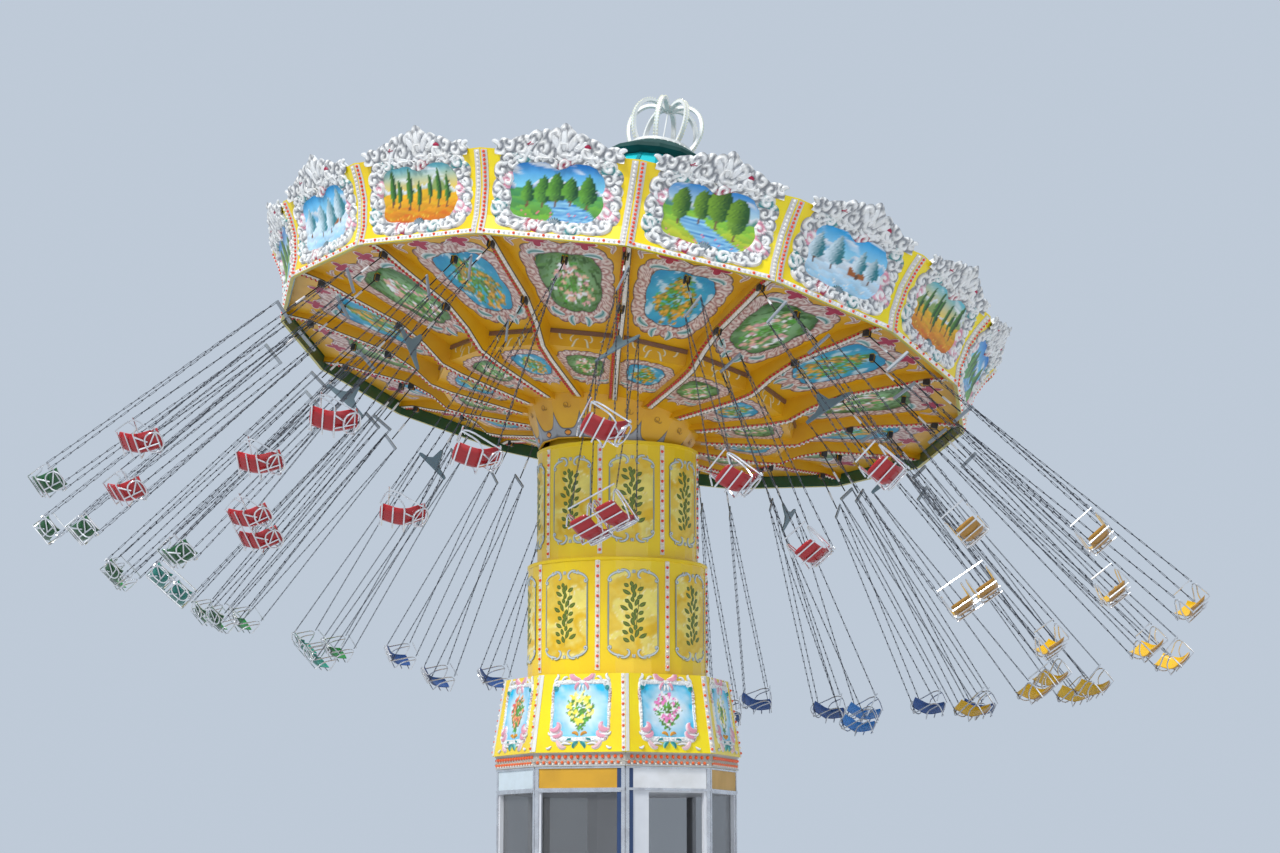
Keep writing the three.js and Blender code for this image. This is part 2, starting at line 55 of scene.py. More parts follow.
# Tints, as linear RGB
WHITE: Rgb = (0.86, 0.86, 0.84)
# The next tint is white in painted shade, for the feet of white carved strokes.
SHADED_WHITE: Rgb = (0.5, 0.52, 0.56)
LEMON: Rgb = (0.93, 0.74, 0.0)
AMBER: Rgb = (0.74, 0.39, 0.004)
MAUVE: Rgb = (0.42, 0.17, 0.15)
CRIMSON: Rgb = (0.42, 0.01, 0.06)
TEAL: Rgb = (0.01, 0.25, 0.26)
PINK: Rgb = (0.78, 0.32, 0.42)
CREAM: Rgb = (0.9, 0.8, 0.5)
OLIVE: Rgb = (0.1, 0.14, 0.02)
SLATE: Rgb = (0.22, 0.28, 0.32)

SHARP_ANGLE = math.radians(40.0)
TUBE_SIDES = 6
LAMP_SIDES = 6
WIRE_SIDES = 3
PROBE = 0.01  # metres off a surface, to find where it faces
BASE_TURN = math.radians(3.7)  # the booth's first corner
BASE_SIDES = 8
CANOPY_SIDES = 16


def unit(vectors: Array) -> Array:
    """Vectors scaled to length one."""
    return vectors / np.maximum(np.linalg.norm(vectors, axis=-1, keepdims=True), 1e-12)


def running_sum(values: Array) -> Array:
    """Integral along the last axis over 0 to 1, by the trapezium rule, starting at 0."""
    steps = (values[..., 1:] + values[..., :-1]) / 2 / (values.shape[-1] - 1)
    return np.concatenate([np.zeros_like(values[..., :1]), np.cumsum(steps, axis=-1)], axis=-1)


def blend(low: Array | Rgb, high: Array | Rgb, part: Array) -> Array:
    """Colour between low and high, with part held from 0 to 1 for each point."""
    share = np.clip(part, 0.0, 1.0)[..., None]
    return np.asarray(low) * (1 - share) + np.asarray(high) * share


@dataclass(frozen=True)
class Place:
    """A rigid place: points are turned by a 3 by 3 matrix, then shifted."""

    turn: Array
    shift: Array

    def put(self, points: Array) -> Array:
        """Points of the place's own frame in the ride's frame."""
        return points @ self.turn.T + self.shift


GROUND = Place(np.eye(3), np.zeros(3))


def leaning(normal: Array, shift: Array) -> Place:
    """The place whose Z points along a normal, by the shortest turn.

    Args:
        normal: where Z goes.
        shift: where the origin goes.

    Returns:
        The place, by Rodrigues' formula: I + K + K K / (1 + cos), with K the cross matrix of Z and normal.
    """
    n = unit(np.asarray(normal, float))
    kx, ky = -n[1], n[0]
    cross = np.array([[0, 0, ky], [0, 0, -kx], [-ky, kx, 0]])
    return Place(np.eye(3) + cross + cross @ cross / (1 + n[2]), np.asarray(shift, float))


@dataclass(frozen=True)
class Bay:
    """One side of a many-sided ring, with its profile in (corner radius, height) pairs.

    A point of it is (across, along, lift): across the side, along the profile, and off the surface.
    """

    place: Place
    sides: int
    azimuth: float
    profile: Profile
    facing: float = 1.0

    def line(self) -> tuple[Array, Array, Array]:
        """Length along the profile, and the flat's distance from the axis and height at its points."""
        r, h = np.array(self.profile).T
        r = r * (math.cos(math.pi / self.sides) if self.sides else 1.0)
        s = np.concatenate([[0.0], np.cumsum(np.hypot(np.diff(r), np.diff(h)))])
        return s, r, h

    def length(self) -> float:
        """Length of the profile."""
        return float(self.line()[0][-1])

    def half(self, along: Array | float) -> Array:
        """Half the width of the side at a length along the profile."""
        s, r, _ = self.line()
        return np.interp(along, s, r) * math.tan(math.pi / self.sides)

    def at(self, across: Array, along: Array, lift: Array | float) -> Array:
        """Points of the side in the ride's frame.

        Args:
            across: metres along the side from its middle.
            along: metres along the profile.
            lift: metres off the surface.

        Returns:
            middle line (r, h) by length along the profile, plus across times the tangent, plus lift times
            the profile's normal.
        """
        s, r, h = self.line()
        across, along, lift = np.broadcast_arrays(across, along, lift)
        step = 1e-3
        ahead = np.clip(along + step, None, s[-1])
        behind = np.clip(along - step, 0.0, None)
        dr = np.interp(ahead, s, r) - np.interp(behind, s, r)
        dh = np.interp(ahead, s, h) - np.interp(behind, s, h)
        size = np.maximum(np.hypot(dr, dh), 1e-12) * self.facing
        out = np.interp(along, s, r) + lift * dh / size
        up = np.interp(along, s, h) - lift * dr / size
        c, t = math.cos(self.azimuth), math.sin(self.azimuth)
        x = out * c - across * t
        y = out * t + across * c
        return self.place.put(np.stack([x, y, up], axis=-1))


def bays_round(place: Place, count: int, profile: Profile, turn: float = 0.0, facing: float = 1.0) -> list[Bay]:
    """All the sides of a many-sided ring, the first one half a step past an azimuth."""
    step = 2 * math.pi / count
    return [Bay(place, count, turn + (k + 0.5) * step, profile, facing) for k in range(count)]


def ridges_round(place: Place, count: int, line: Profile, turn: float = 0.0, facing: float = 1.0) -> list[Bay]:
    """The same line at evenly spaced azimuths, as narrow sides with no flats between them."""
    return [Bay(place, 0, turn + k * 2 * math.pi / count, line, facing) for k in range(count)]


@dataclass(frozen=True)
class Band:
    """A stretch of an upright drum, unrolled: across is arc length, along is height above low."""

    radius: float
    azimuth: float
    low: float

    def at(self, across: Array, along: Array, lift: Array | float) -> Array:
        """Points of the drum: azimuth plus across over radius, at radius plus lift."""
        across, along, lift = np.broadcast_arrays(across, along, lift)
        angle = self.azimuth + across / self.radius
        reach = self.radius + lift
        return np.stack([reach * np.cos(angle), reach * np.sin(angle), self.low + along], axis=-1)


Side = Bay | Band


@dataclass
class Shell:
    """Points, faces (four corners, or three and -1), tints and finish number of one part of a piece."""

    points: Array
    faces: Array
    tints: Array
    finish: int = 0

    def facing(self, directions: Array | None = None) -> "Shell":
        """This shell with its faces turned outwards.

        Args:
            directions: where each point's surface should face, or None for a closed shell.

        Returns:
            The shell, its faces reversed if its volume, or its agreement with the directions, is negative.
        """
        a, b, c = (self.points[self.faces[:, i]] for i in range(3))
        cross = np.cross(b - a, c - a)
        if directions is None:
            d = self.points[np.where(self.faces[:, 3] < 0, self.faces[:, 2], self.faces[:, 3])]
            other = np.cross(c - a, d - a)
            middle = self.points.mean(axis=0)
            sense = np.sum((a - middle) * (cross + other))
        else:
            sense = np.sum(directions[self.faces[:, 0]] * cross)
        if sense < 0:
            quad = self.faces[:, 3:4] >= 0
            turned = np.where(quad, self.faces[:, ::-1], self.faces[:, [2, 1, 0, 3]])
            return Shell(self.points, turned, self.tints, self.finish)
        return self


def woven(points: Array, tints: Array | Rgb, ring: bool = False, caps: bool = False, finish: int = 0) -> Shell:
    """A shell from batches of grids of points.

    Args:
        points: array (..., rows, columns, 3).
        tints: one tint, or an array that fits the points.
        ring: whether each row closes on itself.
        caps: whether the first and last rows are closed by fans.
        finish: the finish number.

    Returns:
        The shell: grid cell (i, j) becomes the face (i, j), (i, j+1), (i+1, j+1), (i+1, j).
    """
    rows, cols = points.shape[-3:-1]
    flat = points.reshape(-1, rows * cols, 3)
    i = np.arange(rows - 1)[:, None]
    j = np.arange(cols if ring else cols - 1)[None, :]
    k = (j + 1) % cols
    faces = np.stack([i * cols + j, i * cols + k, (i + 1) * cols + k, (i + 1) * cols + j], -1).reshape(-1, 4)
    if caps:
        fan = np.arange(1, cols - 1)
        none = np.full_like(fan, -1)
        last = (rows - 1) * cols
        first_cap = np.stack([0 * fan, fan + 1, fan, none], -1)
        last_cap = np.stack([0 * fan + last, fan + last, fan + 1 + last, none], -1)
        faces = np.concatenate([faces, first_cap, last_cap])
    shift = (np.arange(len(flat)) * rows * cols)[:, None, None]
    every = np.where(faces[None] < 0, -1, faces[None] + shift).reshape(-1, 4)
    colours = np.broadcast_to(np.asarray(tints, float), points.shape).reshape(-1, 3)
    return Shell(flat.reshape(-1, 3), every, colours, finish)


class Surface(Enum):
    """The grain that a finish shows."""

    ENAMEL = "enamel"
    STEEL = "steel"
    CLOTH = "cloth"
    LAMP = "lamp"


def feed(tree: bpy.types.NodeTree, node: bpy.types.Node, inputs: dict[str | int, object]) -> None:
    """Links a node's inputs to the sockets given for them, or sets their values."""
    for name, value in inputs.items():
        if isinstance(value, bpy.types.NodeSocket):
            tree.links.new(value, node.inputs[name])
        else:
            node.inputs[name].default_value = value


def add_node(tree: bpy.types.NodeTree, kind: str, inputs: dict[str | int, object],
             **settings: object) -> bpy.types.Node:
    """A new shader node.

    Args:
        tree: the material's node tree.
        kind: the node's type.
        inputs: a value or another node's socket for each input.
        settings: the node's settings, made first because they change its inputs.

    Returns:
        The node.
    """
    node = tree.nodes.new(kind)
    for name, value in settings.items():
        setattr(node, name, value)
    feed(tree, node, inputs)
    return node


@dataclass(frozen=True)
class Finish:
    """A procedural finish. Where tinted, its colour is the piece's own tint attribute."""

    name: str
    base: Rgb = (0.8, 0.8, 0.8)
    second: Rgb | None = None
    grain: float = 2.0
    rough: float = 0.35
    metal: float = 0.0
    bump: float = 0.1
    coat: float = 0.0
    tinted: bool = False
    glow: float = 0.0
    surface: Surface = Surface.ENAMEL

    def make(self) -> bpy.types.Material:
        """The material: mottled colour, roughness that varies with it, and a fine bump.

        Returns:
            The material, made once for each name. A tinted one multiplies its tint by the mottle.
        """
        if self.name in bpy.data.materials:
            return bpy.data.materials[self.name]
        material = bpy.data.materials.new(self.name)
        material.use_nodes = True
        tree = material.node_tree
        shader = tree.nodes["Principled BSDF"]
        place = add_node(tree, "ShaderNodeTexCoord", {}).outputs["Object"]

        def noise(scale: float, detail: float) -> bpy.types.NodeSocket:
            """A noise texture on object coordinates."""
            inputs = {"Vector": place, "Scale": scale, "Detail": detail}
            return add_node(tree, "ShaderNodeTexNoise", inputs).outputs["Fac"]

        broad = noise(self.grain, 5.0)
        share = add_node(tree, "ShaderNodeMapRange", {"Value": broad, "From Min": 0.4, "From Max": 0.75})
        second = self.second or tuple(0.8 * c for c in self.base)
        first, last = ((1.0, 1.0, 1.0), (0.84, 0.83, 0.8)) if self.tinted else (self.base, second)
        colour = add_node(tree, "ShaderNodeMix", {"Factor": share.outputs["Result"], "A": (*first, 1.0),
                                                  "B": (*last, 1.0)}, data_type="RGBA").outputs["Result"]
        if self.tinted:
            tint = add_node(tree, "ShaderNodeAttribute", {}, attribute_name="tint").outputs["Color"]
            colour = add_node(tree, "ShaderNodeMix", {"Factor": 1.0, "A": tint, "B": colour}, data_type="RGBA",
                              blend_type="MULTIPLY").outputs["Result"]
        rough = add_node(tree, "ShaderNodeMapRange", {"Value": broad, "To Min": max(self.rough - 0.1, 0.03),
                                                      "To Max": min(self.rough + 0.15, 1.0)})
        scale = {Surface.ENAMEL: 14.0, Surface.STEEL: 60.0, Surface.CLOTH: 90.0, Surface.LAMP: 8.0}
        bump = add_node(tree, "ShaderNodeBump", {"Strength": self.bump, "Distance": 0.004,
                                                 "Height": noise(scale[self.surface], 3.0)})
        feed(tree, shader, {"Metallic": self.metal, "Coat Weight": self.coat, "Coat Roughness": 0.08,
                            "Base Color": colour, "Roughness": rough.outputs["Result"],
                            "Normal": bump.outputs["Normal"]})
        if self.glow:
            feed(tree, shader, {"Emission Strength": self.glow, "Emission Color": colour})
        return material


CARVED = Finish("carved_relief", grain=9.0, rough=0.38, bump=0.12, tinted=True)
PAINTED = Finish("painted_scene", grain=5.0, rough=0.4, bump=0.15, tinted=True)
LAMPS = Finish("lamp_caps", grain=4.0, rough=0.18, bump=0.0, coat=0.5, tinted=True, glow=0.12, surface=Surface.LAMP)
TRIM = Finish("trim_paint", grain=3.0, rough=0.35, bump=0.05, tinted=True)
YELLOW = Finish("lemon_enamel", base=LEMON, second=(0.86, 0.55, 0.0), grain=1.2, rough=0.3, bump=0.06, coat=0.3)
GOLDEN = Finish("golden_enamel", base=(0.88, 0.63, 0.0), second=(0.8, 0.5, 0.0), grain=1.0, rough=0.3, bump=0.06,
                coat=0.3)
STEEL = Finish("bright_steel", base=(0.72, 0.73, 0.75), second=(0.5, 0.5, 0.52), grain=7.0, rough=0.25, metal=0.9,
               surface=Surface.STEEL)
CHAIN = Finish("chain_steel", base=(0.07, 0.08, 0.1), second=(0.03, 0.03, 0.04), grain=9.0, rough=0.45, metal=0.5,
               surface=Surface.STEEL)
BLACK = Finish("black_iron", base=(0.02, 0.02, 0.022), second=(0.05, 0.05, 0.05), grain=6.0, rough=0.45)
GREY = Finish("machine_grey", base=(0.3, 0.31, 0.32), second=(0.2, 0.21, 0.22), grain=2.0, rough=0.5, metal=0.3)
SEAT_SHELL = Finish("seat_shell", grain=6.0, rough=0.3, bump=0.05, coat=0.3, tinted=True)
SEAT_TUBE = Finish("seat_tube", base=(0.78, 0.79, 0.8), second=(0.6, 0.6, 0.62), grain=9.0, rough=0.2, metal=0.85,
                   surface=Surface.STEEL)


@dataclass(frozen=True)
class CanopyFinish(Finish):
    """Enamel on a canopy piece that has another colour on its inside or above a height."""

    axis: Point = (0.0, 0.0, 1.0)
    origin: Point = (0.0, 0.0, 0.0)
    crest_height: float = 99.0
    crest: Rgb = WHITE
    inside: Rgb = (0.012, 0.1, 0.05)

    def make(self) -> bpy.types.Material:
        """The enamel, changed above a height along the axis and where the surface faces the axis.

        Returns:
            The material. Height is (point - origin) . axis, and the inside is where the normal points
            against the arm from the axis to the point.
        """
        if self.name in bpy.data.materials:
            return bpy.data.materials[self.name]
        material = Finish.make(self)
        tree = material.node_tree
        shader = tree.nodes["Principled BSDF"]
        place = next(n for n in tree.nodes if n.type == "TEX_COORD")
        arm = add_node(tree, "ShaderNodeVectorMath", {0: place.outputs["Object"], 1: self.origin},
                       operation="SUBTRACT").outputs["Vector"]
        height, inward = (
            add_node(tree, "ShaderNodeVectorMath", {0: one, 1: other}, operation="DOT_PRODUCT").outputs["Value"]
            for one, other in ((arm, self.axis), (place.outputs["Normal"], arm)))
        colour = shader.inputs["Base Color"].links[0].from_socket
        for value, low, high, tint in ((height, self.crest_height, self.crest_height + 0.01, self.crest),
                                       (inward, 0.5, -0.5, self.inside)):
            mask = add_node(tree, "ShaderNodeMapRange", {"Value": value, "From Min": low, "From Max": high})
            colour = add_node(tree, "ShaderNodeMix", {"Factor": mask.outputs["Result"], "A": colour,
                                                      "B": (*tint, 1.0)}, data_type="RGBA").outputs["Result"]
        feed(tree, shader, {"Base Color": colour})
        return material


def add_object(name: str, data: bpy.types.ID) -> bpy.types.Object:
    """A new object of the scene."""
    made = bpy.data.objects.new(name, data)
    bpy.context.scene.collection.objects.link(made)
    return made


def build_piece(name: str, shells: list[Shell], finishes: list[Finish], body: str,
                stands_for: str = "") -> None:
    """Makes one finished piece from its shells, at the origin, with its place in its mesh.

    Args:
        name: the piece's name.
        shells: its shells, whose finish numbers point into finishes.
        finishes: its finishes.
        body: the body that it rides on.
        stands_for: the frame's node that it replaces, if any.
    """
    starts = np.cumsum([0] + [len(s.points) for s in shells])
    faces = np.concatenate([np.where(s.faces < 0, -1, s.faces + n) for s, n in zip(shells, starts)])
    points = np.concatenate([s.points for s in shells])
    tints = np.concatenate([s.tints for s in shells])
    kinds = np.concatenate([np.full(len(s.faces), s.finish) for s in shells])
    corners = np.where(faces[:, 3] < 0, 3, 4)
    loops = faces[faces >= 0]
    mesh = bpy.data.meshes.new(name)
    mesh.vertices.add(len(points))
    mesh.vertices.foreach_set("co", points.astype(np.float32).ravel())
    mesh.loops.add(len(loops))
    mesh.loops.foreach_set("vertex_index", loops.astype(np.int32))
    mesh.polygons.add(len(faces))
    mesh.polygons.foreach_set("loop_start", np.concatenate([[0], np.cumsum(corners)[:-1]]).astype(np.int32))
    mesh.polygons.foreach_set("loop_total", corners.astype(np.int32))
    mesh.update(calc_edges=True)
    mesh.polygons.foreach_set("material_index", kinds.astype(np.int32))
    mesh.polygons.foreach_set("use_smooth", np.ones(len(faces), bool))
    mesh.set_sharp_from_angle(angle=SHARP_ANGLE)
    colours = np.concatenate([tints, np.ones((len(tints), 1))], axis=1).astype(np.float32)
    mesh.color_attributes.new("tint", "FLOAT_COLOR", "POINT").data.foreach_set("color", colours.ravel())
    for finish in finishes:
        mesh.materials.append(finish.make())
    piece = add_object(name, mesh)
    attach(piece, body)
    if stands_for:
        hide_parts(stands_for)
    log.info("%s: %d triangles on %s", name, int(np.sum(corners - 2)), body)


def dress_node(node: str, finish: Finish) -> None:
    """Gives a frame's node a finish."""
    materials = frame["nodes"][node].data.materials
    materials.clear()
    materials.append(finish.make())


@dataclass(frozen=True)
class Stroke:
    """A brush or chisel stroke: a line whose curl runs from start through mid to end, in turns' radians.

    The curl is per whole stroke: mid + (start - mid) (1 - s)^4 + (end - mid) s^4, so that both ends can
    wind up into a volute.
    """

    x: float
    y: float
    heading: float
    length: float
    start: float = 0.0
    mid: float = 0.0
    end: float = 0.0
    width: float = 0.02
    rise: float = 0.012
    tint: Rgb = WHITE
    # The edge tint goes at the stroke's feet, or 0.55 times the tint when none is given: on carved strokes this darker
    # foot is painted shade where the ridge meets the surface; on flat strokes an edge tint is a painted outline.
    edge: Rgb | None = None

    def mirrored(self) -> "Stroke":
        """The same stroke on the other side of the middle line."""
        return replace(self, x=-self.x, heading=180.0 - self.heading, start=-self.start, mid=-self.mid, end=-self.end)


def both(strokes: list[Stroke]) -> list[Stroke]:
    """Strokes with their mirror images."""
    return strokes + [stroke.mirrored() for stroke in strokes]


def stroke_shell(sides: list[Side], strokes: list[Stroke], steps: int = 11, lift: float = 0.0,
                 flat: bool = False, blunt: float = 0.3) -> Shell:
    """The strokes on every side, as closed tapering ridges.

    Args:
        sides: the sides that carry them.
        strokes: the strokes, in a side's across and along.
        steps: points along a stroke.
        lift: how far their feet are off the surface.
        flat: whether the ridge has one top line, for paint, or two, for carving.
        blunt: share of the width at the ends.

    Returns:
        The shell. The centre line is the integral of (cos, sin) of the heading, which is the integral of
        the curl. The half width is blunt + (1 - blunt) sin(pi s)^0.7 times the width.
    """
    values = np.array([[k.x, k.y, math.radians(k.heading), k.length, k.start, k.mid, k.end, k.width, k.rise]
                       for k in strokes])
    x0, y0, heading, length, start, mid, end, width, rise = (column[:, None] for column in values.T)
    s = np.linspace(0.0, 1.0, steps)[None, :]
    curl = mid + (start - mid) * (1 - s) ** 4 + (end - mid) * s**4
    angle = heading + running_sum(curl)
    x = x0 + length * running_sum(np.cos(angle))
    y = y0 + length * running_sum(np.sin(angle))
    body = blunt + (1 - blunt) * np.sin(np.pi * np.clip(s, 0.0, 1.0)) ** 0.7
    half = width / 2 * body
    aside = np.array([-1.0, 0.0, 1.0] if flat else [-1.0, -0.45, 0.45, 1.0])
    up = np.array([0.0, 1.0, 0.0] if flat else [0.0, 1.0, 1.0, 0.0])
    across = x[..., None] - np.sin(angle)[..., None] * half[..., None] * aside
    along = y[..., None] + np.cos(angle)[..., None] * half[..., None] * aside
    height = lift + (rise * body)[..., None] * up
    tops = np.array([k.tint for k in strokes])[:, None, None, :]
    # Darker feet on carved strokes are painted shade; an edge tint on flat strokes is a painted outline.
    feet = np.array([k.edge or tuple(0.55 * c for c in k.tint) for k in strokes])[:, None, None, :]
    tints = feet + (tops - feet) * up[None, None, :, None] + np.zeros((len(strokes), steps, len(aside), 3))
    points = np.stack([side.at(across, along, height) for side in sides])
    return woven(points, np.broadcast_to(tints, points.shape), ring=True, caps=True).facing()


def relief_shell(sides: list[Side], x: Array, y: Array, lift: Array | float, tints: Array,
                 ring: bool = False) -> Shell:
    """The same grid of a relief or painting on every side, facing off the surface."""
    points = np.stack([side.at(x, y, lift) for side in sides])
    ahead = np.stack([side.at(x, y, lift + PROBE) for side in sides]) - points
    return woven(points, np.broadcast_to(tints, points.shape), ring=ring).facing(ahead.reshape(-1, 3))


def strip_shell(side: Side, left: Array | float, right: Array | float, along: Array, thick: float, tint: Rgb,
                finish: int = 0) -> Shell:
    """A raised strip along the profile, with square edges.

    Args:
        side: the side that carries it.
        left: its left edge, at each length along or everywhere.
        right: its right edge.
        along: lengths along the profile.
        thick: its thickness.
        tint: its tint.
        finish: the finish number.

    Returns:
        The shell, a box section carried along the profile.
    """
    left, right, along = np.broadcast_arrays(left, right, along)
    across = np.stack([left, left, right, right], axis=-1)
    lift = np.broadcast_to(np.array([0.0, thick, thick, 0.0]), across.shape)
    points = side.at(across, np.broadcast_to(along[:, None], across.shape), lift)
    return woven(points, tint, ring=True, caps=True, finish=finish).facing()


def edge_strip(side: Side, sign: int, near: Array, far: Array, along: Array, thick: float, tint: Rgb,
               finish: int = 0) -> Shell:
    """A raised strip from near to far of the side's middle, to its left or right by the sign."""
    one, other = sign * near, sign * far
    return strip_shell(side, np.minimum(one, other), np.maximum(one, other), along, thick, tint, finish)


def level_strip(side: Bay, rows: Array, inset: float, thick: float, tint: Rgb) -> Shell:
    """A raised strip over the whole width of a side, less an inset at both ends."""
    half = side.half(rows) - inset
    return strip_shell(side, -half, half, rows, thick, tint)


def in_turn(count: int, every: int, first: Rgb, rest: Rgb) -> Array:
    """Tints for a row of lamps: the first one at every so many, and the rest's at the others."""
    return np.where((np.arange(count) % every == 0)[:, None], first, rest)


def hoops(first: Array, second: Array, count: int) -> Array:
    """Points evenly round the unit circles that pairs of square directions span."""
    turn = (np.arange(count) * 2 * np.pi / count)[:, None]
    return first[..., None, :] * np.cos(turn) + second[..., None, :] * np.sin(turn)


def lamp_shell(points: Array, directions: Array, radius: float, tints: Array | Rgb, finish: int = 0) -> Shell:
    """Lamp caps: a low dome of six sides at each point.

    Args:
        points: array (n, 3) of their feet.
        directions: array (n, 3), where they point.
        radius: their radius.
        tints: one tint or one for each.
        finish: the finish number.

    Returns:
        The shell: rings of radius 1 and 0.5 times the cap's, at heights 0 and 0.95 times it.
    """
    up = unit(directions)
    aid = np.where(np.abs(up[:, 2:3]) > 0.8, [[1.0, 0.0, 0.0]], [[0.0, 0.0, 1.0]])
    first = unit(np.cross(up, aid))
    ring = hoops(first, np.cross(up, first), LAMP_SIDES)
    grid = np.stack([points[:, None, :] + radius * (share * ring + height * up[:, None, :])
                     for share, height in ((1.0, 0.0), (0.5, 0.95))], axis=1)
    colours = np.broadcast_to(np.asarray(tints, float).reshape(-1, 1, 1, 3), grid.shape)
    return woven(grid, colours, ring=True, caps=True, finish=finish).facing()


def lamps_on(side: Side, across: Array | float, along: Array | float, lift: float, radius: float, tints: Array | Rgb,
             finish: int = 0) -> Shell:
    """Lamp caps on a side at (across, along)."""
    feet = side.at(across, along, lift).reshape(-1, 3)
    tips = side.at(across, along, lift + PROBE).reshape(-1, 3)
    return lamp_shell(feet, tips - feet, radius, tints, finish)


def tube_shell(path: Array, radius: float, tint: Rgb, finish: int) -> Shell:
    """A round bar along a path.

    Args:
        path: array (n, 3).
        radius: its radius.
        tint: its tint.
        finish: the finish number.

    Returns:
        The shell: at each point a ring in the plane across the path's direction, kept from twisting by one
        fixed side direction.
    """
    ahead = unit(np.gradient(path, axis=0))
    whole = unit(path[-1] - path[0] + 1e-6)
    aid = np.eye(3)[np.argmin(np.abs(ahead).max(axis=0))] if abs(whole[0]) > 0.5 else np.array([1.0, 0.0, 0.0])
    side = unit(np.cross(ahead, aid))
    ring = hoops(side, np.cross(ahead, side), TUBE_SIDES)
    return woven(path[:, None] + radius * ring, tint, ring=True, caps=True, finish=finish).facing()


def quarters(before: Array, after: Array) -> Array:
    """Points at a quarter and three quarters of every stretch between two rows of points."""
    pairs = np.stack([0.75 * before + 0.25 * after, 0.25 * before + 0.75 * after], axis=1)
    return pairs.reshape(-1, before.shape[1])


def rounded(corners: list[Point], closed: bool = False) -> Array:
    """A path with its corners cut twice by quarters, as Chaikin's rule does."""
    path = np.array(corners, float)
    for _ in range(2):
        if closed:
            path = quarters(path, np.roll(path, -1, axis=0))
        else:
            path = np.concatenate([path[:1], quarters(path[:-1], path[1:])[1:-1], path[-1:]])
    return np.concatenate([path, path[:1]]) if closed else path


def box_shell(low: Point, high: Point, tint: Rgb, place: Place = GROUND,
              chamfer: float = 0.004, finish: int = 0) -> Shell:
    """A block with chamfered ends, upright in its place.

    Args:
        low: its lowest corner.
        high: its highest corner.
        tint: its tint.
        place: its place.
        chamfer: width of the chamfers, at most a third of its least size.
        finish: the finish number.

    Returns:
        The shell: four rings of eight corners.
    """
    lo, hi = np.array(low, float), np.array(high, float)
    c = min(chamfer, float(np.min(hi - lo)) / 3)

    def ring(z: float, inset: float) -> Array:
        """The eight corners of the block's outline at a height, drawn in by an inset."""
        x0, y0 = lo[:2] + inset
        x1, y1 = hi[:2] - inset
        pairs = [(x0 + c, y0), (x1 - c, y0), (x1, y0 + c), (x1, y1 - c), (x1 - c, y1), (x0 + c, y1), (x0, y1 - c),
                 (x0, y0 + c)]
        return np.array([(x, y, z) for x, y in pairs])

    rings = np.stack([ring(lo[2], c), ring(lo[2] + c, 0.0), ring(hi[2] - c, 0.0), ring(hi[2], c)])
    return woven(place.put(rings), tint, ring=True, caps=True, finish=finish).facing()


def turned_grid(profile: Array, around: int) -> Array:
    """Points (pairs, around, 3) of a profile of (radius, height) pairs turned about Z."""
    r, h = profile[:, 0:1], profile[:, 1:2]
    angle = np.arange(around) * 2 * np.pi / around
    return np.stack([r * np.cos(angle), r * np.sin(angle), np.repeat(h, around, 1)], -1)


def turned_shell(profile: list[tuple[float, float]], around: int, tint: Rgb, place: Place,
                 hollow: bool = False) -> Shell:
    """A profile of (radius, height) pairs turned about the place's Z.

    Args:
        profile: its pairs.
        around: steps round the axis.
        tint: its tint.
        place: its place.
        hollow: whether the profile closes on itself round a ring, in place of discs over its two ends.

    Returns:
        The shell, as one row of points round the axis for each pair.
    """
    grid = turned_grid(np.array(profile + profile[:1] * hollow, float), around)
    return woven(place.put(grid), tint, ring=True, caps=not hollow).facing()


def smoothed(line: Array) -> Array:
    """A line with its corners cut twice by quarters, which keeps more of its end stretches."""
    for _ in range(2):
        line = np.concatenate([line[:1], quarters(line[:-1], line[1:]), line[-1:]])
    return line


def waves(x: Array, seed: int, terms: int = 5) -> Array:
    """A seeded sum of sines with falling sizes, about -1 to 1."""
    rng = np.random.default_rng(seed)
    total = np.zeros_like(x)
    for n in range(terms):
        total = total + np.sin(x * (1.7 * 1.7**n) + rng.uniform(0, 6.28)) * 0.62**n
    return total / 1.8


def over(picture: Array, mask: Array, tint: Array | Rgb) -> Array:
    """A picture with a tint laid over it where the mask is set."""
    return np.where(mask[..., None], tint, picture)


def ellipse(x: Array, y: Array, middle: tuple[float, float], turn: float, size: tuple[float, float]) -> Array:
    """Squared reach of points from the middle of a turned ellipse, which is 1 on its rim."""
    p, q = x - middle[0], y - middle[1]
    c, s = math.cos(turn), math.sin(turn)
    return ((p * c + q * s) / size[0]) ** 2 + ((q * c - p * s) / size[1]) ** 2


class Scene(Enum):
    """The kinds of small landscape on the facia."""

    LAKE = "lake"
    FIELDS = "fields"
    WINTER = "winter"
    MEADOW = "meadow"


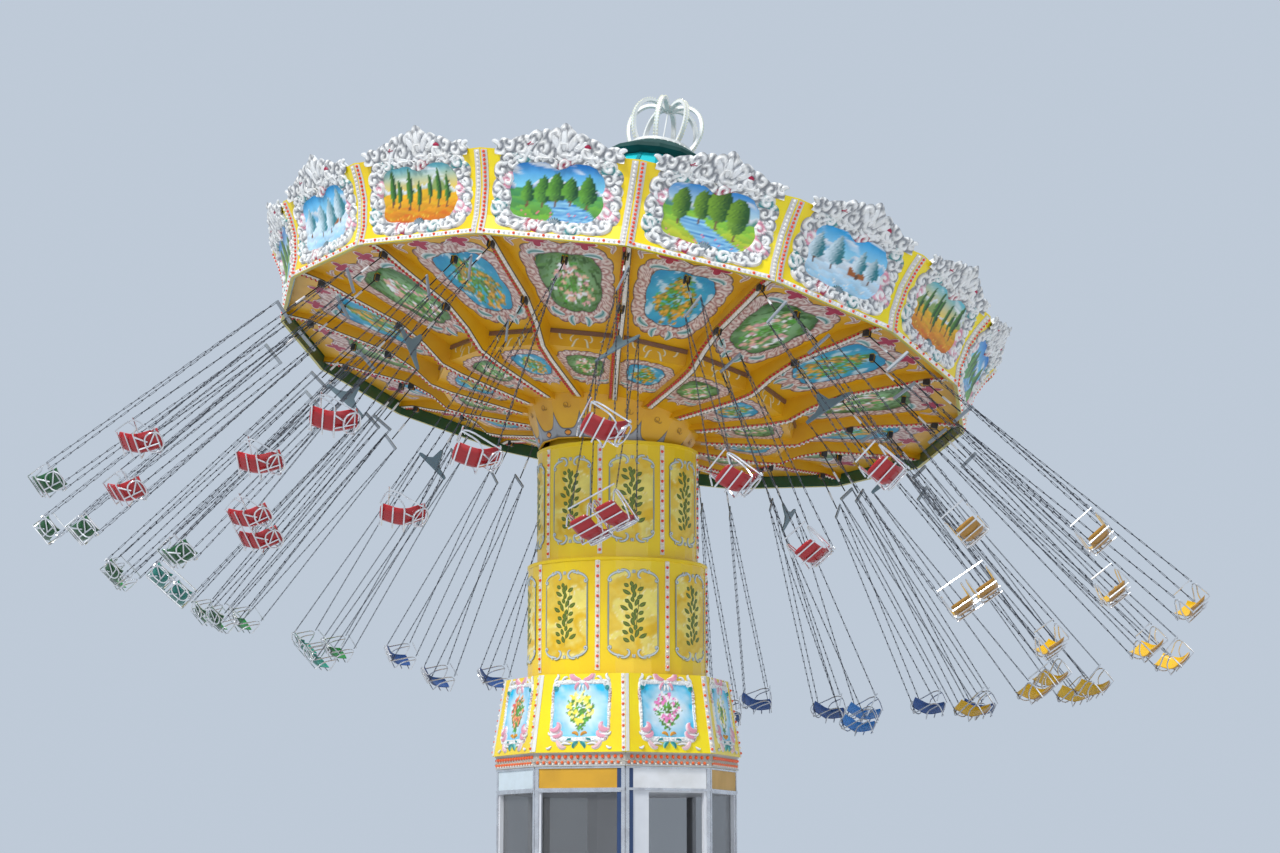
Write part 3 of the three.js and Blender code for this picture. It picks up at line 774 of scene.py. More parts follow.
@dataclass(frozen=True)
class Landscape:
    """A landscape of layered hills under a sky, worked out from a kind and a seed."""

    kind: Scene
    seed: int

    def colours(self) -> dict[str, Rgb]:
        """Sky, horizon, far, mid, near, tree and leaf tints of the kind."""
        tints = {
            Scene.LAKE: ((0.0, 0.2, 0.62), (0.25, 0.7, 0.85), (0.03, 0.2, 0.42), (0.05, 0.28, 0.08),
                         (0.16, 0.42, 0.03), (0.0, 0.06, 0.015), (0.12, 0.36, 0.03)),
            Scene.FIELDS: ((0.12, 0.5, 0.6), (0.9, 0.6, 0.04), (0.25, 0.36, 0.1), (0.8, 0.45, 0.01),
                           (0.62, 0.14, 0.005), (0.005, 0.05, 0.015), (0.08, 0.26, 0.03)),
            Scene.WINTER: ((0.0, 0.35, 0.75), (0.4, 0.78, 0.92), (0.18, 0.48, 0.7), (0.75, 0.86, 0.94),
                           (0.35, 0.66, 0.88), (0.02, 0.2, 0.24), (0.7, 0.85, 0.92)),
            Scene.MEADOW: ((0.03, 0.28, 0.7), (0.65, 0.85, 0.8), (0.1, 0.3, 0.25), (0.2, 0.5, 0.03),
                           (0.5, 0.55, 0.02), (0.01, 0.09, 0.01), (0.2, 0.4, 0.02)),
        }[self.kind]
        return dict(zip(("sky", "glow", "far", "mid", "near", "tree", "leaf"), tints))

    def paint(self, x: Array, y: Array) -> Array:
        """Tints at x from -1 to 1 and y from 0 to 1.

        Args:
            x: across the picture.
            y: up the picture.

        Returns:
            Array (..., 3): sky by height, clouds by a product of waves, then layers that cover all below
            their ridge line, then trees as ellipses.
        """
        tone = self.colours()
        rng = np.random.default_rng(self.seed)
        picture = blend(tone["glow"], tone["sky"], (y - 0.5) * 2.4)
        cloud = waves(x * 2.2 + y * 3, self.seed + 1) * waves(y * 9 + x, self.seed + 2) * (y - 0.45)
        picture = blend(picture, (0.85, 0.88, 0.9), np.clip(cloud * 7 - 0.25, 0, 0.85))
        ridge = 0.62 + 0.13 * waves(x * 2.6, self.seed + 3, 6)
        rock = blend(tone["far"], (0.75, 0.8, 0.85), (y - ridge + 0.09) * 14 + waves(x * 9, self.seed + 4) * 0.4)
        picture = over(picture, y < ridge, rock)
        for n in range(4):
            line = 0.5 - 0.12 * n + 0.055 * waves(x * (1.6 + n), self.seed + 10 + n, 4)
            depth = (line - y) * 5
            ground = blend(tone["mid"], tone["near"], 0.3 * n + 0.25 * waves(x * 5 + y * 24, self.seed + 20 + n))
            ground = ground * (1.12 - 0.45 * np.clip(depth, 0, 1))[..., None]
            picture = over(picture, y < line, ground)
        if self.kind in (Scene.LAKE, Scene.MEADOW):
            shore = np.abs(x - 0.35 * np.sin(y * 7 + self.seed)) < 0.25 + 0.5 * (0.42 - y)
            water = blend((0.0, 0.16, 0.5), (0.35, 0.7, 0.85), 0.5 + 0.5 * waves(y * 60 + x * 2, self.seed + 5))
            picture = over(picture, (y < 0.42) & shore, water)
        count, tall, slim, taper = {
            Scene.MEADOW: (4, 0.5, 0.42, 0.0), Scene.LAKE: (5, 0.4, 0.36, 0.5),
            Scene.FIELDS: (7, 0.5, 0.13, 0.35), Scene.WINTER: (4, 0.46, 0.34, 0.8),
        }[self.kind]
        if self.kind is Scene.WINTER:
            wall = (np.abs(x - 0.3) < 0.2) & (y > 0.32) & (y < 0.44)
            gable = (np.abs(x - 0.3) < 0.26 - 1.2 * (y - 0.44)) & (y >= 0.43) & (y < 0.56)
            picture = over(over(picture, gable, (0.85, 0.9, 0.95)), wall, (0.4, 0.12, 0.02))
        for n in range(count):
            cx = -0.8 + 1.6 * (n + rng.uniform(0.2, 0.8)) / count
            foot = rng.uniform(0.24, 0.38)
            high = tall * rng.uniform(0.75, 1.15)
            half = high * slim * rng.uniform(0.85, 1.15)
            up = (y - foot - 0.58 * high) / (high / 2)
            ragged = 0.3 * waves(x * 34 + y * 21, self.seed + n) * waves(y * 37 - x * 9, self.seed + 30 + n)
            edge = ((x - cx) / (half * (1 - taper * up))) ** 2 + up**2 + ragged
            light = 0.4 - 0.7 * (x - cx) / half + 0.5 * waves(x * 50 + y * 9, n) * waves(y * 46, self.seed + n)
            leaf = blend(tone["tree"], tone["leaf"], light)
            trunk = (np.abs(x - cx) < 0.022) & (y > foot - 0.05) & (y < foot + 0.25 * high)
            picture = over(over(picture, trunk, (0.16, 0.07, 0.03)), edge < 1, leaf)
        dots = (waves(x * 46, self.seed + 6) * waves(y * 52, self.seed + 7) > 0.5) & (y < 0.2)
        bloom = {Scene.WINTER: WHITE, Scene.FIELDS: (0.8, 0.5, 0.05)}.get(self.kind, (0.8, 0.15, 0.25))
        return np.clip(over(picture, dots, bloom), 0, 1)


@dataclass(frozen=True)
class Posy:
    """A bunch of flowers and leaves on a soft ground, worked out from a seed."""

    seed: int
    edge: Rgb
    heart: Rgb
    blooms: tuple[Rgb, ...]
    spread: float = 0.42
    count: int = 60
    leafy: float = 0.5
    bower: int = 0
    cloud: float = 0.0

    def paint(self, x: Array, y: Array) -> Array:
        """Tints at x from -1 to 1 and y from 0 to 1.

        Args:
            x: across the picture.
            y: up the picture.

        Returns:
            Array (..., 3): the ground by distance from the middle, then dabs as turned ellipses.
        """
        rng = np.random.default_rng(self.seed)
        v = 2 * y - 1
        mist = 0.25 * waves(x * 4 + y * 3, self.seed + 1) * waves(y * 6, self.seed + 2)
        picture = blend(self.heart, self.edge, (np.hypot(x, v) - 0.35 + mist) * 1.2)
        puff = waves(x * 5 + y * 2, self.seed + 3) + waves(y * 9 - x * 3, self.seed + 4) - 0.6
        picture = blend(picture, (0.6, 0.78, 0.85), np.clip(puff * 2.5, 0, 1) * self.cloud)
        for _ in range(self.bower):
            angle, reach = rng.uniform(0, 6.28), rng.uniform(0.72, 1.15)
            middle = (reach * math.cos(angle), reach * math.sin(angle))
            inside = ellipse(x, v, middle, angle + rng.uniform(0.5, 2.6), (0.13, 0.04))
            dab = blend((0.015, 0.08, 0.01), (0.12, 0.3, 0.06), np.full(x.shape, rng.uniform(0, 1)))
            picture = over(picture, inside < 1, dab)
        for n in range(self.count):
            is_leaf = n < self.count * self.leafy
            angle, reach = rng.uniform(0, 6.28), self.spread * rng.uniform(0 if is_leaf else 0.2, 1) ** 0.6
            cx, cy = reach * math.cos(angle), 1.25 * reach * math.sin(angle) + (-0.05 if is_leaf else 0.1)
            cx *= min(1.0, 0.45 + 0.7 * (cy + 0.7))
            size = rng.uniform(0.06, 0.12) if is_leaf else rng.uniform(0.045, 0.085)
            slim = size * (0.32 if is_leaf else 0.85)
            turn = math.atan2(cy + 0.5, cx) + rng.uniform(-0.7, 0.7)
            inside = ellipse(x, v, (cx, cy), turn, (size, slim))
            tint = (0.06, rng.uniform(0.1, 0.35), 0.01) if is_leaf else self.blooms[n % len(self.blooms)]
            dab = blend(tuple(min(1.0, 1.5 * c + 0.06) for c in tint), tint, inside)
            picture = over(picture, inside < 1, dab)
        return np.clip(picture, 0, 1)


def cushion_grid(columns: int, rows: int, half_width: float, low: float, high: float,
                 squareness: float = 0.35) -> tuple[Array, Array, Array, Array]:
    """A grid that fills a rounded panel.

    Args:
        columns: points across.
        rows: points along.
        half_width: half its width.
        low: where it starts along the profile.
        high: where it ends.
        squareness: how much the corners are drawn in.

    Returns:
        across, along, and the picture's x and y: the square (u, v) with u' = u sqrt(1 - k v^2) and
        v' = v sqrt(1 - k u^2), which rounds its corners.
    """
    u, v = np.meshgrid(np.linspace(-1, 1, columns), np.linspace(-1, 1, rows))
    x = u * np.sqrt(1 - squareness * v**2)
    y = v * np.sqrt(1 - squareness * u**2)
    return x * half_width, (low + high) / 2 + y * (high - low) / 2, x, (y + 1) / 2


def panel_outline(half_width: float, low: float, high: float, count: int, squareness: float = 4.0) -> Array:
    """Points and headings round a rounded panel.

    Args:
        half_width: half its width.
        low: its lower end.
        high: its upper end.
        count: number of points.
        squareness: the power n of its outline.

    Returns:
        Rows of (x, y, heading in degrees) on the superellipse |x|^n + |y|^n = 1, anticlockwise from its
        lowest point.
    """
    t = np.linspace(0, 2 * np.pi, 721) - np.pi / 2
    power = 2 / squareness
    x = half_width * np.sign(np.cos(t)) * np.abs(np.cos(t)) ** power
    y = (low + high) / 2 + (high - low) / 2 * np.sign(np.sin(t)) * np.abs(np.sin(t)) ** power
    s = np.concatenate([[0.0], np.cumsum(np.hypot(np.diff(x), np.diff(y)))])
    at = (np.arange(count) + 0.5) / count * s[-1]
    px, py = np.interp(at, s, x), np.interp(at, s, y)
    step = s[-1] / 400
    qx, qy = np.interp((at + step) % s[-1], s, x), np.interp((at + step) % s[-1], s, y)
    return np.stack([px, py, np.degrees(np.arctan2(qy - py, qx - px))], axis=-1)


@dataclass(frozen=True)
class Wreath:
    """A closed band of scrollwork between a scalloped inner edge and a leafy outer edge."""

    inner: Point
    outer: Point
    volutes: int
    radius: float
    around: int = 240
    across: int = 13
    lobes: int = 9
    leaves: int = 17
    depth: float = 0.06
    taper: float = 0.0
    notch: float = 0.0
    power: float = 4.5

    @property
    def angle(self) -> Array:
        """The angle of every step round the band."""
        return np.linspace(0.0, 2 * np.pi, self.around, endpoint=False)

    def edge(self, box: Point, ripple: Array) -> Array:
        """A closed edge: a superellipse of a half width between a low and a high line.

        Args:
            box: half width, low and high.
            ripple: share added to its reach at every step round it.

        Returns:
            Across and along, stacked. A notch dips the top's middle, and a taper narrows it upwards.
        """
        half, low, high = box
        middle, tall = (low + high) / 2, high - low
        c, s = np.cos(self.angle), np.sin(self.angle)
        reach = (np.abs(c) ** self.power + np.abs(s) ** self.power) ** (-1 / self.power) * (1 + ripple)
        x = half * reach * c
        y = middle + tall / 2 * reach * s
        y = y - self.notch * np.exp(-((x / 0.13) ** 2)) * (s > 0)
        x = x * (1 - self.taper * (y - middle) / tall)
        return np.stack([x, y])

    def carved(self) -> tuple[Array, Array, Array, Array, Array]:
        """The band's grid and its scrollwork.

        Returns:
            Across, along, share of the way across the band, height from 0 to 1, and cell. The height is a
            spiral ridge round the nearest centre that sinks to nothing between two cells.
        """
        angle = self.angle
        scallops = self.depth * (np.abs(np.sin(self.lobes * angle / 2)) - 0.6)
        tips = self.depth * (np.abs(np.sin(self.leaves * angle / 2 + 0.8 * np.sin(3 * angle))) ** 0.6 - 0.6)
        part = np.linspace(0.0, 1.0, self.across)[:, None]
        x, y = (self.edge(self.inner, scallops)[:, None] * (1 - part)
                + self.edge(self.outer, tips)[:, None] * part)
        spots = np.arange(self.volutes) * x.shape[1] // self.volutes
        rows = np.where(np.arange(self.volutes) % 2, 0.68, 0.3) * (self.across - 1)
        centres = (rows.astype(int), spots)
        return x, y, part + 0 * x, *spirals(x, y, x[centres], y[centres], self.radius)

    def tint(self, height: Array, cell: Array, top: Rgb, foot: Rgb, accents: dict[int, Rgb]) -> Array:
        """Tints from the hollow tint to the top tint by height, with some cells' hollows in accents; the carved
        frames' dark grey hollows are painted shade.
        """
        feet = np.broadcast_to(np.array(foot), (*height.shape, 3)).copy()
        for number, accent in accents.items():
            feet[cell % self.volutes == number] = accent
        return blend(feet, top, height * 1.7 - 0.25)


def spirals(x: Array, y: Array, cx: Array, cy: Array, radius: float) -> tuple[Array, Array]:
    """Spiral ridges round centres.

    Args:
        x: across of the points.
        y: along of the points.
        cx: across of the centres.
        cy: along of the centres.
        radius: reach of a spiral.

    Returns:
        Height and the number of the nearest centre. The ridge is 0.5 + 0.5 cos(angle - 3 pi reach), with
        the angle's sign turning from one centre to the next, and the crease between two cells is the
        difference of the two nearest reaches.
    """
    dx, dy = x[None] - cx[:, None, None], y[None] - cy[:, None, None]
    reach = np.hypot(dx, dy) / radius
    cell = np.argmin(reach, axis=0)
    near = np.min(reach, axis=0)
    second = np.partition(reach, 1, axis=0)[1]
    angle = np.take_along_axis(np.arctan2(dy, dx), cell[None], axis=0)[0]
    turn = np.where(cell % 2 == 0, 1.0, -1.0)
    ridge = 0.5 + 0.5 * np.cos(turn * angle + 2.4 * cell - 3.0 * np.pi * near)
    return ridge**0.8 * np.clip((second - near) / 0.3, 0.0, 1.0) ** 0.6, cell


@dataclass
class Facia:
    """The sixteen flared panels round the canopy, with their carved frames, crests, pictures and lamps."""

    place: Place
    bays: int = CANOPY_SIDES
    profile: Profile = ((5.4, 0.0), (5.4, 0.28), (5.49, 0.65), (5.62, 0.9), (5.77, 1.113), (6.03, 1.482))
    top: float = 1.2
    frame_half: float = 0.8
    frame_low: float = 0.2
    frame_high: float = 1.12
    lamp: float = 0.024
    cell: float = 0.17
    crest_line: Profile = ((-0.9, 0.0), (-0.82, 0.11), (-0.56, 0.15), (-0.33, 0.26), (-0.06, 0.3), (0.12, 0.4),
                           (0.19, 0.29), (0.45, 0.21), (0.62, 0.12), (0.86, 0.09), (0.93, 0.0))

    @property
    def sides(self) -> list[Bay]:
        """The sixteen sides."""
        return bays_round(self.place, self.bays, self.profile)

    def carving(self) -> list[Stroke]:
        """The frame's leaves: broad ones that turn over its outer edge, and a fan of a shell below."""
        strokes: list[Stroke] = []
        size = self.cell
        outline = panel_outline(self.frame_half, self.frame_low, self.frame_high, 22, 5.0)
        for n, (x, y, heading) in enumerate(outline):
            turn = 1 if n % 2 else -1
            # The grey at the feet of the white strokes is painted shade.
            strokes.append(Stroke(x, y, heading - 30 * turn, 0.95 * size, 3 * turn, 1.1 * turn, 5 * turn, 0.075,
                                  0.024, WHITE, SHADED_WHITE))
            strokes.append(Stroke(x, y, heading - 100 + 20 * turn, 0.66 * size, 0, -2 * turn, 3 * turn, 0.07, 0.03,
                                  WHITE, SHADED_WHITE))
        for angle in range(-60, 61, 20):
            strokes.append(Stroke(0.0, self.frame_low, 90 + angle, 0.12, 0, 0, 0, 0.036, 0.03, SLATE, TEAL))
        return strokes

    def crest(self) -> list[Stroke]:
        """The strokes above the panel: long leaves on both sides and a leaf group that leans to one side."""
        top = self.top
        # The grey feet of the white strokes are painted shade.
        long = [
            Stroke(-0.3, top + 0.14, 200, 0.4, 3, 0.6, -5, 0.09, 0.03, WHITE, SHADED_WHITE),
            Stroke(-0.84, top + 0.02, 80, 0.16, 4, 1.0, 6, 0.08, 0.03, WHITE, SHADED_WHITE),
            Stroke(-0.3, top - 0.03, 20, 0.22, -5, 0.8, 6, 0.08, 0.03, WHITE, SHADED_WHITE),
            Stroke(-0.34, top + 0.1, 150, 0.12, 0, 2, 0, 0.07, 0.034, CRIMSON),
        ]
        leaning_group = [
            Stroke(0.07 * n, top + 0.04, 112 - 20 * n, 0.31 - 0.04 * abs(n - 1), -1, 1.1 - 0.6 * n, -5 + 3 * n,
                   0.13, 0.036, WHITE if n % 2 else (0.84, 0.84, 0.83), SHADED_WHITE)
            for n in range(4)
        ]
        return both(long) + leaning_group

    def crest_grid(self) -> tuple[Array, Array, Array, Array]:
        """Across, along, height and tints of the carved mass over a panel, with leaf tips along its outline; its
        hollows are tinted dark grey, painted shade.
        """
        across = np.linspace(-0.9, 0.92, 110)
        outline = np.array(self.crest_line)
        top = np.interp(across, outline[:, 0], outline[:, 1])
        top = top + 0.045 * np.abs(np.sin(across * 19 + 1.5 * np.sin(across * 5))) ** 0.7 * (top > 0.05)
        part = np.linspace(0.0, 1.0, 10)[:, None]
        x = np.broadcast_to(across, (len(part), len(across)))
        under = 0.07
        y = self.top - under + part * (top + under)
        spots = np.linspace(-0.85, 0.87, 12)
        middles = np.interp(spots, across, top) * np.where(np.arange(len(spots)) % 2, 0.62, 0.2)
        height, _ = spirals(x, y, spots, self.top + middles, 0.165)
        edge = np.clip((1 - part) * 9, 0.0, 1.0)
        # Dark grey hollows to pale ridges: painted shade.
        tints = blend((0.26, 0.27, 0.29), (0.92, 0.91, 0.88), height * 1.7 - 0.25)
        return x, y, 0.006 + edge * (0.01 + 0.034 * height), tints

    def pictures(self) -> list[Shell]:
        """A small landscape on every panel."""
        across, along, x, y = cushion_grid(56, 38, self.frame_half - 0.06, self.frame_low + 0.03, self.frame_high)
        kinds = (Scene.MEADOW, Scene.LAKE, Scene.FIELDS, Scene.WINTER)
        return [relief_shell([side], across, along, 0.006, Landscape(kinds[(k * 3) % 4], 40 + k).paint(x, y))
                for k, side in enumerate(self.sides)]

    def strips(self) -> list[Shell]:
        """White strips down both sides of a corner and along the lower edge, with their lamps."""
        shells = []
        thick = 0.008
        along = np.array([0.0, 0.28, 0.47, 0.66, 0.8, 0.94, 1.07, self.top - 0.02])
        rows = np.linspace(0.06, self.top - 0.05, 20)
        columns = np.linspace(-0.95, 0.95, 28)
        tints = in_turn(len(columns), 3, (0.8, 0.07, 0.01), (0.82, 0.8, 0.76))
        width = 0.1
        for side in self.sides:
            half = side.half(along)
            for sign, tint in ((-1, (0.75, 0.06, 0.01)), (1, (0.8, 0.78, 0.74))):
                shells.append(edge_strip(side, sign, half - width, half - 0.012, along, thick, (0.66, 0.64, 0.6)))
                shells.append(lamps_on(side, sign * (side.half(rows) - width / 2), rows, thick, self.lamp, tint, 1))
            reach = side.half(0.0) - width
            shells.append(strip_shell(side, -reach, reach, np.array([0.012, 0.075]), thick, WHITE))
            shells.append(lamps_on(side, columns, 0.045, thick, self.lamp, tints, 1))
        return shells

    def build(self) -> None:
        """Makes and dresses the facia's pieces."""
        axis = tuple(float(v) for v in self.place.turn[:, 2])
        origin = tuple(float(v) for v in self.place.shift)
        wreath = Wreath((0.64, 0.27, 1.06), (0.9, 0.09, 1.21), 26, 0.15, around=220, across=11, notch=0.09)
        x, y, part, height, cell = wreath.carved()
        rise = np.clip(np.minimum(part, 1 - part) * 10, 0.0, 1.0) * (0.014 + 0.034 * height)
        accents = {n: (PINK, TEAL, CRIMSON, TEAL)[n % 4] for n in range(0, wreath.volutes, 3)}
        # The dark grey hollows are painted shade; the pink, teal and crimson accents are paint.
        tints = wreath.tint(height, cell, (0.92, 0.91, 0.88), (0.24, 0.25, 0.27), accents)
        reliefs = [relief_shell(self.sides, x, y, rise, tints, ring=True)]
        crests = [relief_shell(self.sides, *self.crest_grid()),
                  stroke_shell(self.sides, self.crest(), steps=15, lift=0.01)]
        dress_node("facia", CanopyFinish("facia_enamel", base=LEMON, second=(0.85, 0.55, 0.0), grain=1.2, rough=0.3,
                                         bump=0.06, coat=0.3, axis=axis, origin=origin, crest_height=1.12))
        frames = [stroke_shell(self.sides, self.carving(), steps=9, lift=0.012)]
        for name, shells, finishes in (
            ("facia_wreaths", reliefs, [CARVED]), ("facia_frames", frames, [CARVED]),
            ("facia_crests", crests, [CARVED]), ("facia_pictures", self.pictures(), [PAINTED]),
            ("facia_lamps", self.strips(), [TRIM, LAMPS]),
        ):
            build_piece(name, shells, finishes, "canopy")


@dataclass
class Ceiling:
    """The canopy's underside: painted panels, riser, ribs with lamps, and the bowl with its painted crown."""

    place: Place
    bays: int = CANOPY_SIDES
    outer: Profile = ((5.33, 0.2), (4.5, 0.13), (3.6, -0.08), (2.8, -0.33))
    riser: Profile = ((2.8, -0.33), (2.8, -0.58))
    inner: Profile = ((2.8, -0.58), (1.363, -0.77))
    bowl: Profile = ((1.363, -0.77), (1.05, -1.38))
    rib: Profile = ((5.3357, 0.12), (4.95, 0.09), (4.5, -0.02), (3.66, -0.2), (3.2, -0.41), (2.87, -0.63),
                    (2.55, -0.7), (1.4, -0.85))
    rib_half: float = 0.07
    hanger_rows: tuple[float, float] = (4.93, 3.64)
    cheek: tuple[float, float] = (0.0116, 0.0445)

    def ring(self, profile: Profile) -> list[Bay]:
        """The sixteen sides of a profile of the underside."""
        return bays_round(self.place, self.bays, profile, facing=-1.0)

    def outer_paint(self) -> list[Stroke]:
        """The outer panels' painted strokes."""
        commas = [
            Stroke(-0.52, 0.82, 255, 0.3, 6, 1.5, 0, 0.14, 0.003, TEAL, WHITE),
            Stroke(-0.36, 2.02, 130, 0.26, -6, -1.2, 0, 0.12, 0.003, TEAL, WHITE),
            Stroke(-0.08, 2.2, 165, 0.24, -5, -1.2, 0, 0.1, 0.003, TEAL, WHITE),
        ]
        edge = [
            Stroke(-0.8, 0.46, 10, 0.24, -6, 1.0, 6, 0.07, 0.003, MAUVE, WHITE),
            Stroke(-0.42, 0.47, 100, 0.16, 4, -1.0, -4, 0.05, 0.003, (0.85, 0.72, 0.66), MAUVE),
            Stroke(-0.05, 0.46, 160, 0.2, 6, -1.0, -6, 0.06, 0.003, MAUVE, WHITE),
            Stroke(-0.72, 0.62, -70, 0.3, -5, 0.6, 6, 0.07, 0.003, MAUVE, WHITE),
        ]
        return both(commas + edge)

    def stars(self, sides: list[Bay]) -> list[Shell]:
        """Two crimson patches with four points and hollow edges near the facia on every outer panel."""
        angle = np.linspace(0.0, 2 * np.pi, 41)
        reach = np.array([0.0, 0.86, 0.87, 1.0])[:, None] * (0.085 + 0.12 * np.abs(np.cos(2 * angle)) ** 1.6)
        rim = np.array([0, 0, 1, 1])[:, None] + 0 * reach
        tints = blend(CRIMSON, (0.8, 0.62, 0.6), rim)
        return [relief_shell(sides, x + reach * np.cos(angle), 0.4 + reach * np.sin(angle), 0.0046, tints)
                for x in (-0.34, 0.34)]

    def inner_paint(self) -> list[Stroke]:
        """The inner panels' painted strokes."""
        return both([Stroke(-0.03, 1.02, 70, 0.2, -6, 1.5, 9, 0.05, 0.003, MAUVE, WHITE),
                     Stroke(-0.26, 0.9, 100, 0.22, -6, -1.2, 0, 0.06, 0.003, TEAL, WHITE)])

    def riser_paint(self) -> list[Stroke]:
        """Cream scrolls on the riser."""
        return both([Stroke(-0.04, 0.12, 190, 0.26, -9, 0.8, 10, 0.034, 0.004, CREAM),
                     Stroke(-0.28, 0.14, 170, 0.24, 9, -0.8, -10, 0.034, 0.004, CREAM),
                     Stroke(-0.12, 0.06, 140, 0.14, 0, -2, -8, 0.028, 0.004, CREAM)])

    def pictures(self) -> list[Shell]:
        """Flower pieces on the outer and inner panels: leafy bowers and boughs on sky in turn."""
        shells = []
        bower = dict(edge=(0.02, 0.1, 0.015), heart=(0.3, 0.55, 0.25), bower=90,
                     blooms=((0.7, 0.4, 0.25), WHITE, (0.6, 0.3, 0.3)))
        sky = dict(edge=(0.0, 0.25, 0.5), heart=(0.06, 0.5, 0.66), cloud=0.9,
                   blooms=((0.6, 0.3, 0.01), (0.3, 0.2, 0.01)))
        for profile, half, low, high, grid in ((self.outer, 0.5, 0.68, 2.14, 38), (self.inner, 0.29, 0.21, 0.87, 22)):
            across, along, x, y = cushion_grid(grid, grid, half, low, high, 0.3)
            for k, side in enumerate(self.ring(profile)):
                style = bower if k % 2 else sky
                tints = Posy(300 + k, spread=0.62, count=230, leafy=0.7, **style).paint(x, y)
                shells.append(relief_shell([side], across, along, 0.002, tints))
        return shells

    def rib_strips(self) -> list[Shell]:
        """The white strip under every rib, its end cap and its two rows of lamps."""
        shells = []
        for edge in ridges_round(self.place, self.bays, self.rib, facing=-1.0):
            s, r, _ = edge.line()
            along = s.copy()
            along[0] += 0.02
            side = self.rib_half - 0.006
            shells.append(strip_shell(edge, -side, 0.0, along, 0.006, (0.4, 0.17, 0.01)))
            shells.append(strip_shell(edge, 0.0, side, along, 0.008, (0.7, 0.64, 0.54)))
            shells.append(strip_shell(edge, side - 0.004, side + 0.008, along, 0.01, (0.08, 0.05, 0.02)))
            spots = np.arange(0.1, s[-1] - 0.04, 0.075)
            reach = np.interp(spots, s, r)
            spots = spots[np.min(np.abs(reach[:, None] - np.array(self.hanger_rows)), axis=1) > 0.07]
            for across, tint in ((-0.034, (0.45, 0.008, 0.008)), (0.03, (0.72, 0.68, 0.62))):
                shells.append(lamps_on(edge, across, spots, 0.007, 0.025, tint, 1))
        return shells

    def crown_band(self) -> list[Shell]:
        """The grey painted crown round the bowl, with spikes, jewels and thin medallions above."""
        sides = self.ring(self.bowl)
        length = sides[0].length()
        u = np.linspace(-1.0, 1.0, 33)
        part = np.linspace(0.0, 1.0, 6)[:, None]
        crown = length - 0.15 - 0.26 * np.abs(u) ** 4
        y = crown + part * (length - 0.012 - crown)
        x = u * sides[0].half(y)
        tints = blend((0.05, 0.05, 0.055), (0.34, 0.35, 0.37), np.minimum(part * 5, (1 - part) * 5) + 0 * x)
        jewels = [
            Stroke(-0.065, length - 0.085, 0, 0.13, 0, 0, 0, 0.1, 0.004, (0.08, 0.07, 0.06)),
            Stroke(-0.05, length - 0.085, 0, 0.1, 0, 0, 0, 0.075, 0.016, (0.8, 0.28, 0.02), (0.6, 0.25, 0.05)),
            Stroke(0.0, 0.14, 0, 0.26, 6.3, 6.3, 6.3, 0.014, 0.003, (0.42, 0.2, 0.01)),
            Stroke(-0.03, 0.19, -20, 0.16, 8, -3, -9, 0.014, 0.003, (0.42, 0.2, 0.01)),
        ]
        return [relief_shell(sides, x, y, 0.004, tints), stroke_shell(sides, jewels, lift=0.006)]

    def hangers(self) -> list[Shell]:
        """Black plates outside the cheeks of every hanger."""
        shells = []
        for swing in swings():
            half = 0.034 if swing.ring == "panel" else 0.05
            for sign in (-1, 1):
                near, far = sorted(sign * y for y in self.cheek)
                shells.append(box_shell((-half, near, -0.038), (half, far, 0.07), BLACK.base, swing.hanger(), 0.006))
        return shells

    def build(self) -> None:
        """Makes and dresses the ceiling's pieces."""
        dress_node("ceiling", Finish("amber_enamel", base=AMBER, second=(0.62, 0.29, 0.004), grain=1.6, rough=0.42,
                                     bump=0.12, coat=0.15))
        outer, riser, inner = self.ring(self.outer), self.ring(self.riser), self.ring(self.inner)
        bands = []
        for sides, band in (
            (outer, Wreath((0.43, 0.73, 2.08), (0.62, 0.42, 2.36), 32, 0.115, 184, 9, taper=0.42, power=3.4)),
            (inner, Wreath((0.26, 0.24, 0.84), (0.4, 0.1, 1.1), 20, 0.085, 120, 7, taper=0.3, power=3.0)),
        ):
            x, y, part, height, cell = band.carved()
            tints = band.tint(height, cell, (0.8, 0.68, 0.62), MAUVE, {})
            rim = np.minimum(part, 1 - part) < 0.02
            bands.append(relief_shell(sides, x, y, 0.0035, over(tints, rim, (0.05, 0.03, 0.03)), ring=True))
        scrolls = self.stars(outer) + [
            stroke_shell(outer, self.outer_paint(), steps=12, lift=0.0042, flat=True),
            stroke_shell(inner, self.inner_paint(), steps=10, lift=0.0042, flat=True),
            stroke_shell(riser, self.riser_paint(), steps=10, lift=0.001, flat=True),
        ]
        ledges = [level_strip(side, np.array([0.0, 0.06]), self.rib_half, 0.03, (0.2, 0.1, 0.06)) for side in riser]
        collar = turned_shell([(0.88, -1.17), (0.9, -1.17), (0.9, -1.43), (0.88, -1.43)], 64, (0.75, 0.42, 0.01),
                              self.place, hollow=True)
        for name, shells, finishes in (
            ("ceiling_pictures", self.pictures(), [PAINTED]), ("ceiling_bands", bands, [PAINTED]),
            ("ceiling_scrolls", scrolls, [CARVED]), ("ceiling_ledges", ledges, [TRIM]),
            ("bowl_collar", [collar], [TRIM]), ("rib_lamps", self.rib_strips(), [TRIM, LAMPS]),
            ("bowl_crown", self.crown_band(), [CARVED]), ("hanger_plates", self.hangers(), [BLACK]),
        ):
            build_piece(name, shells, finishes, "canopy")


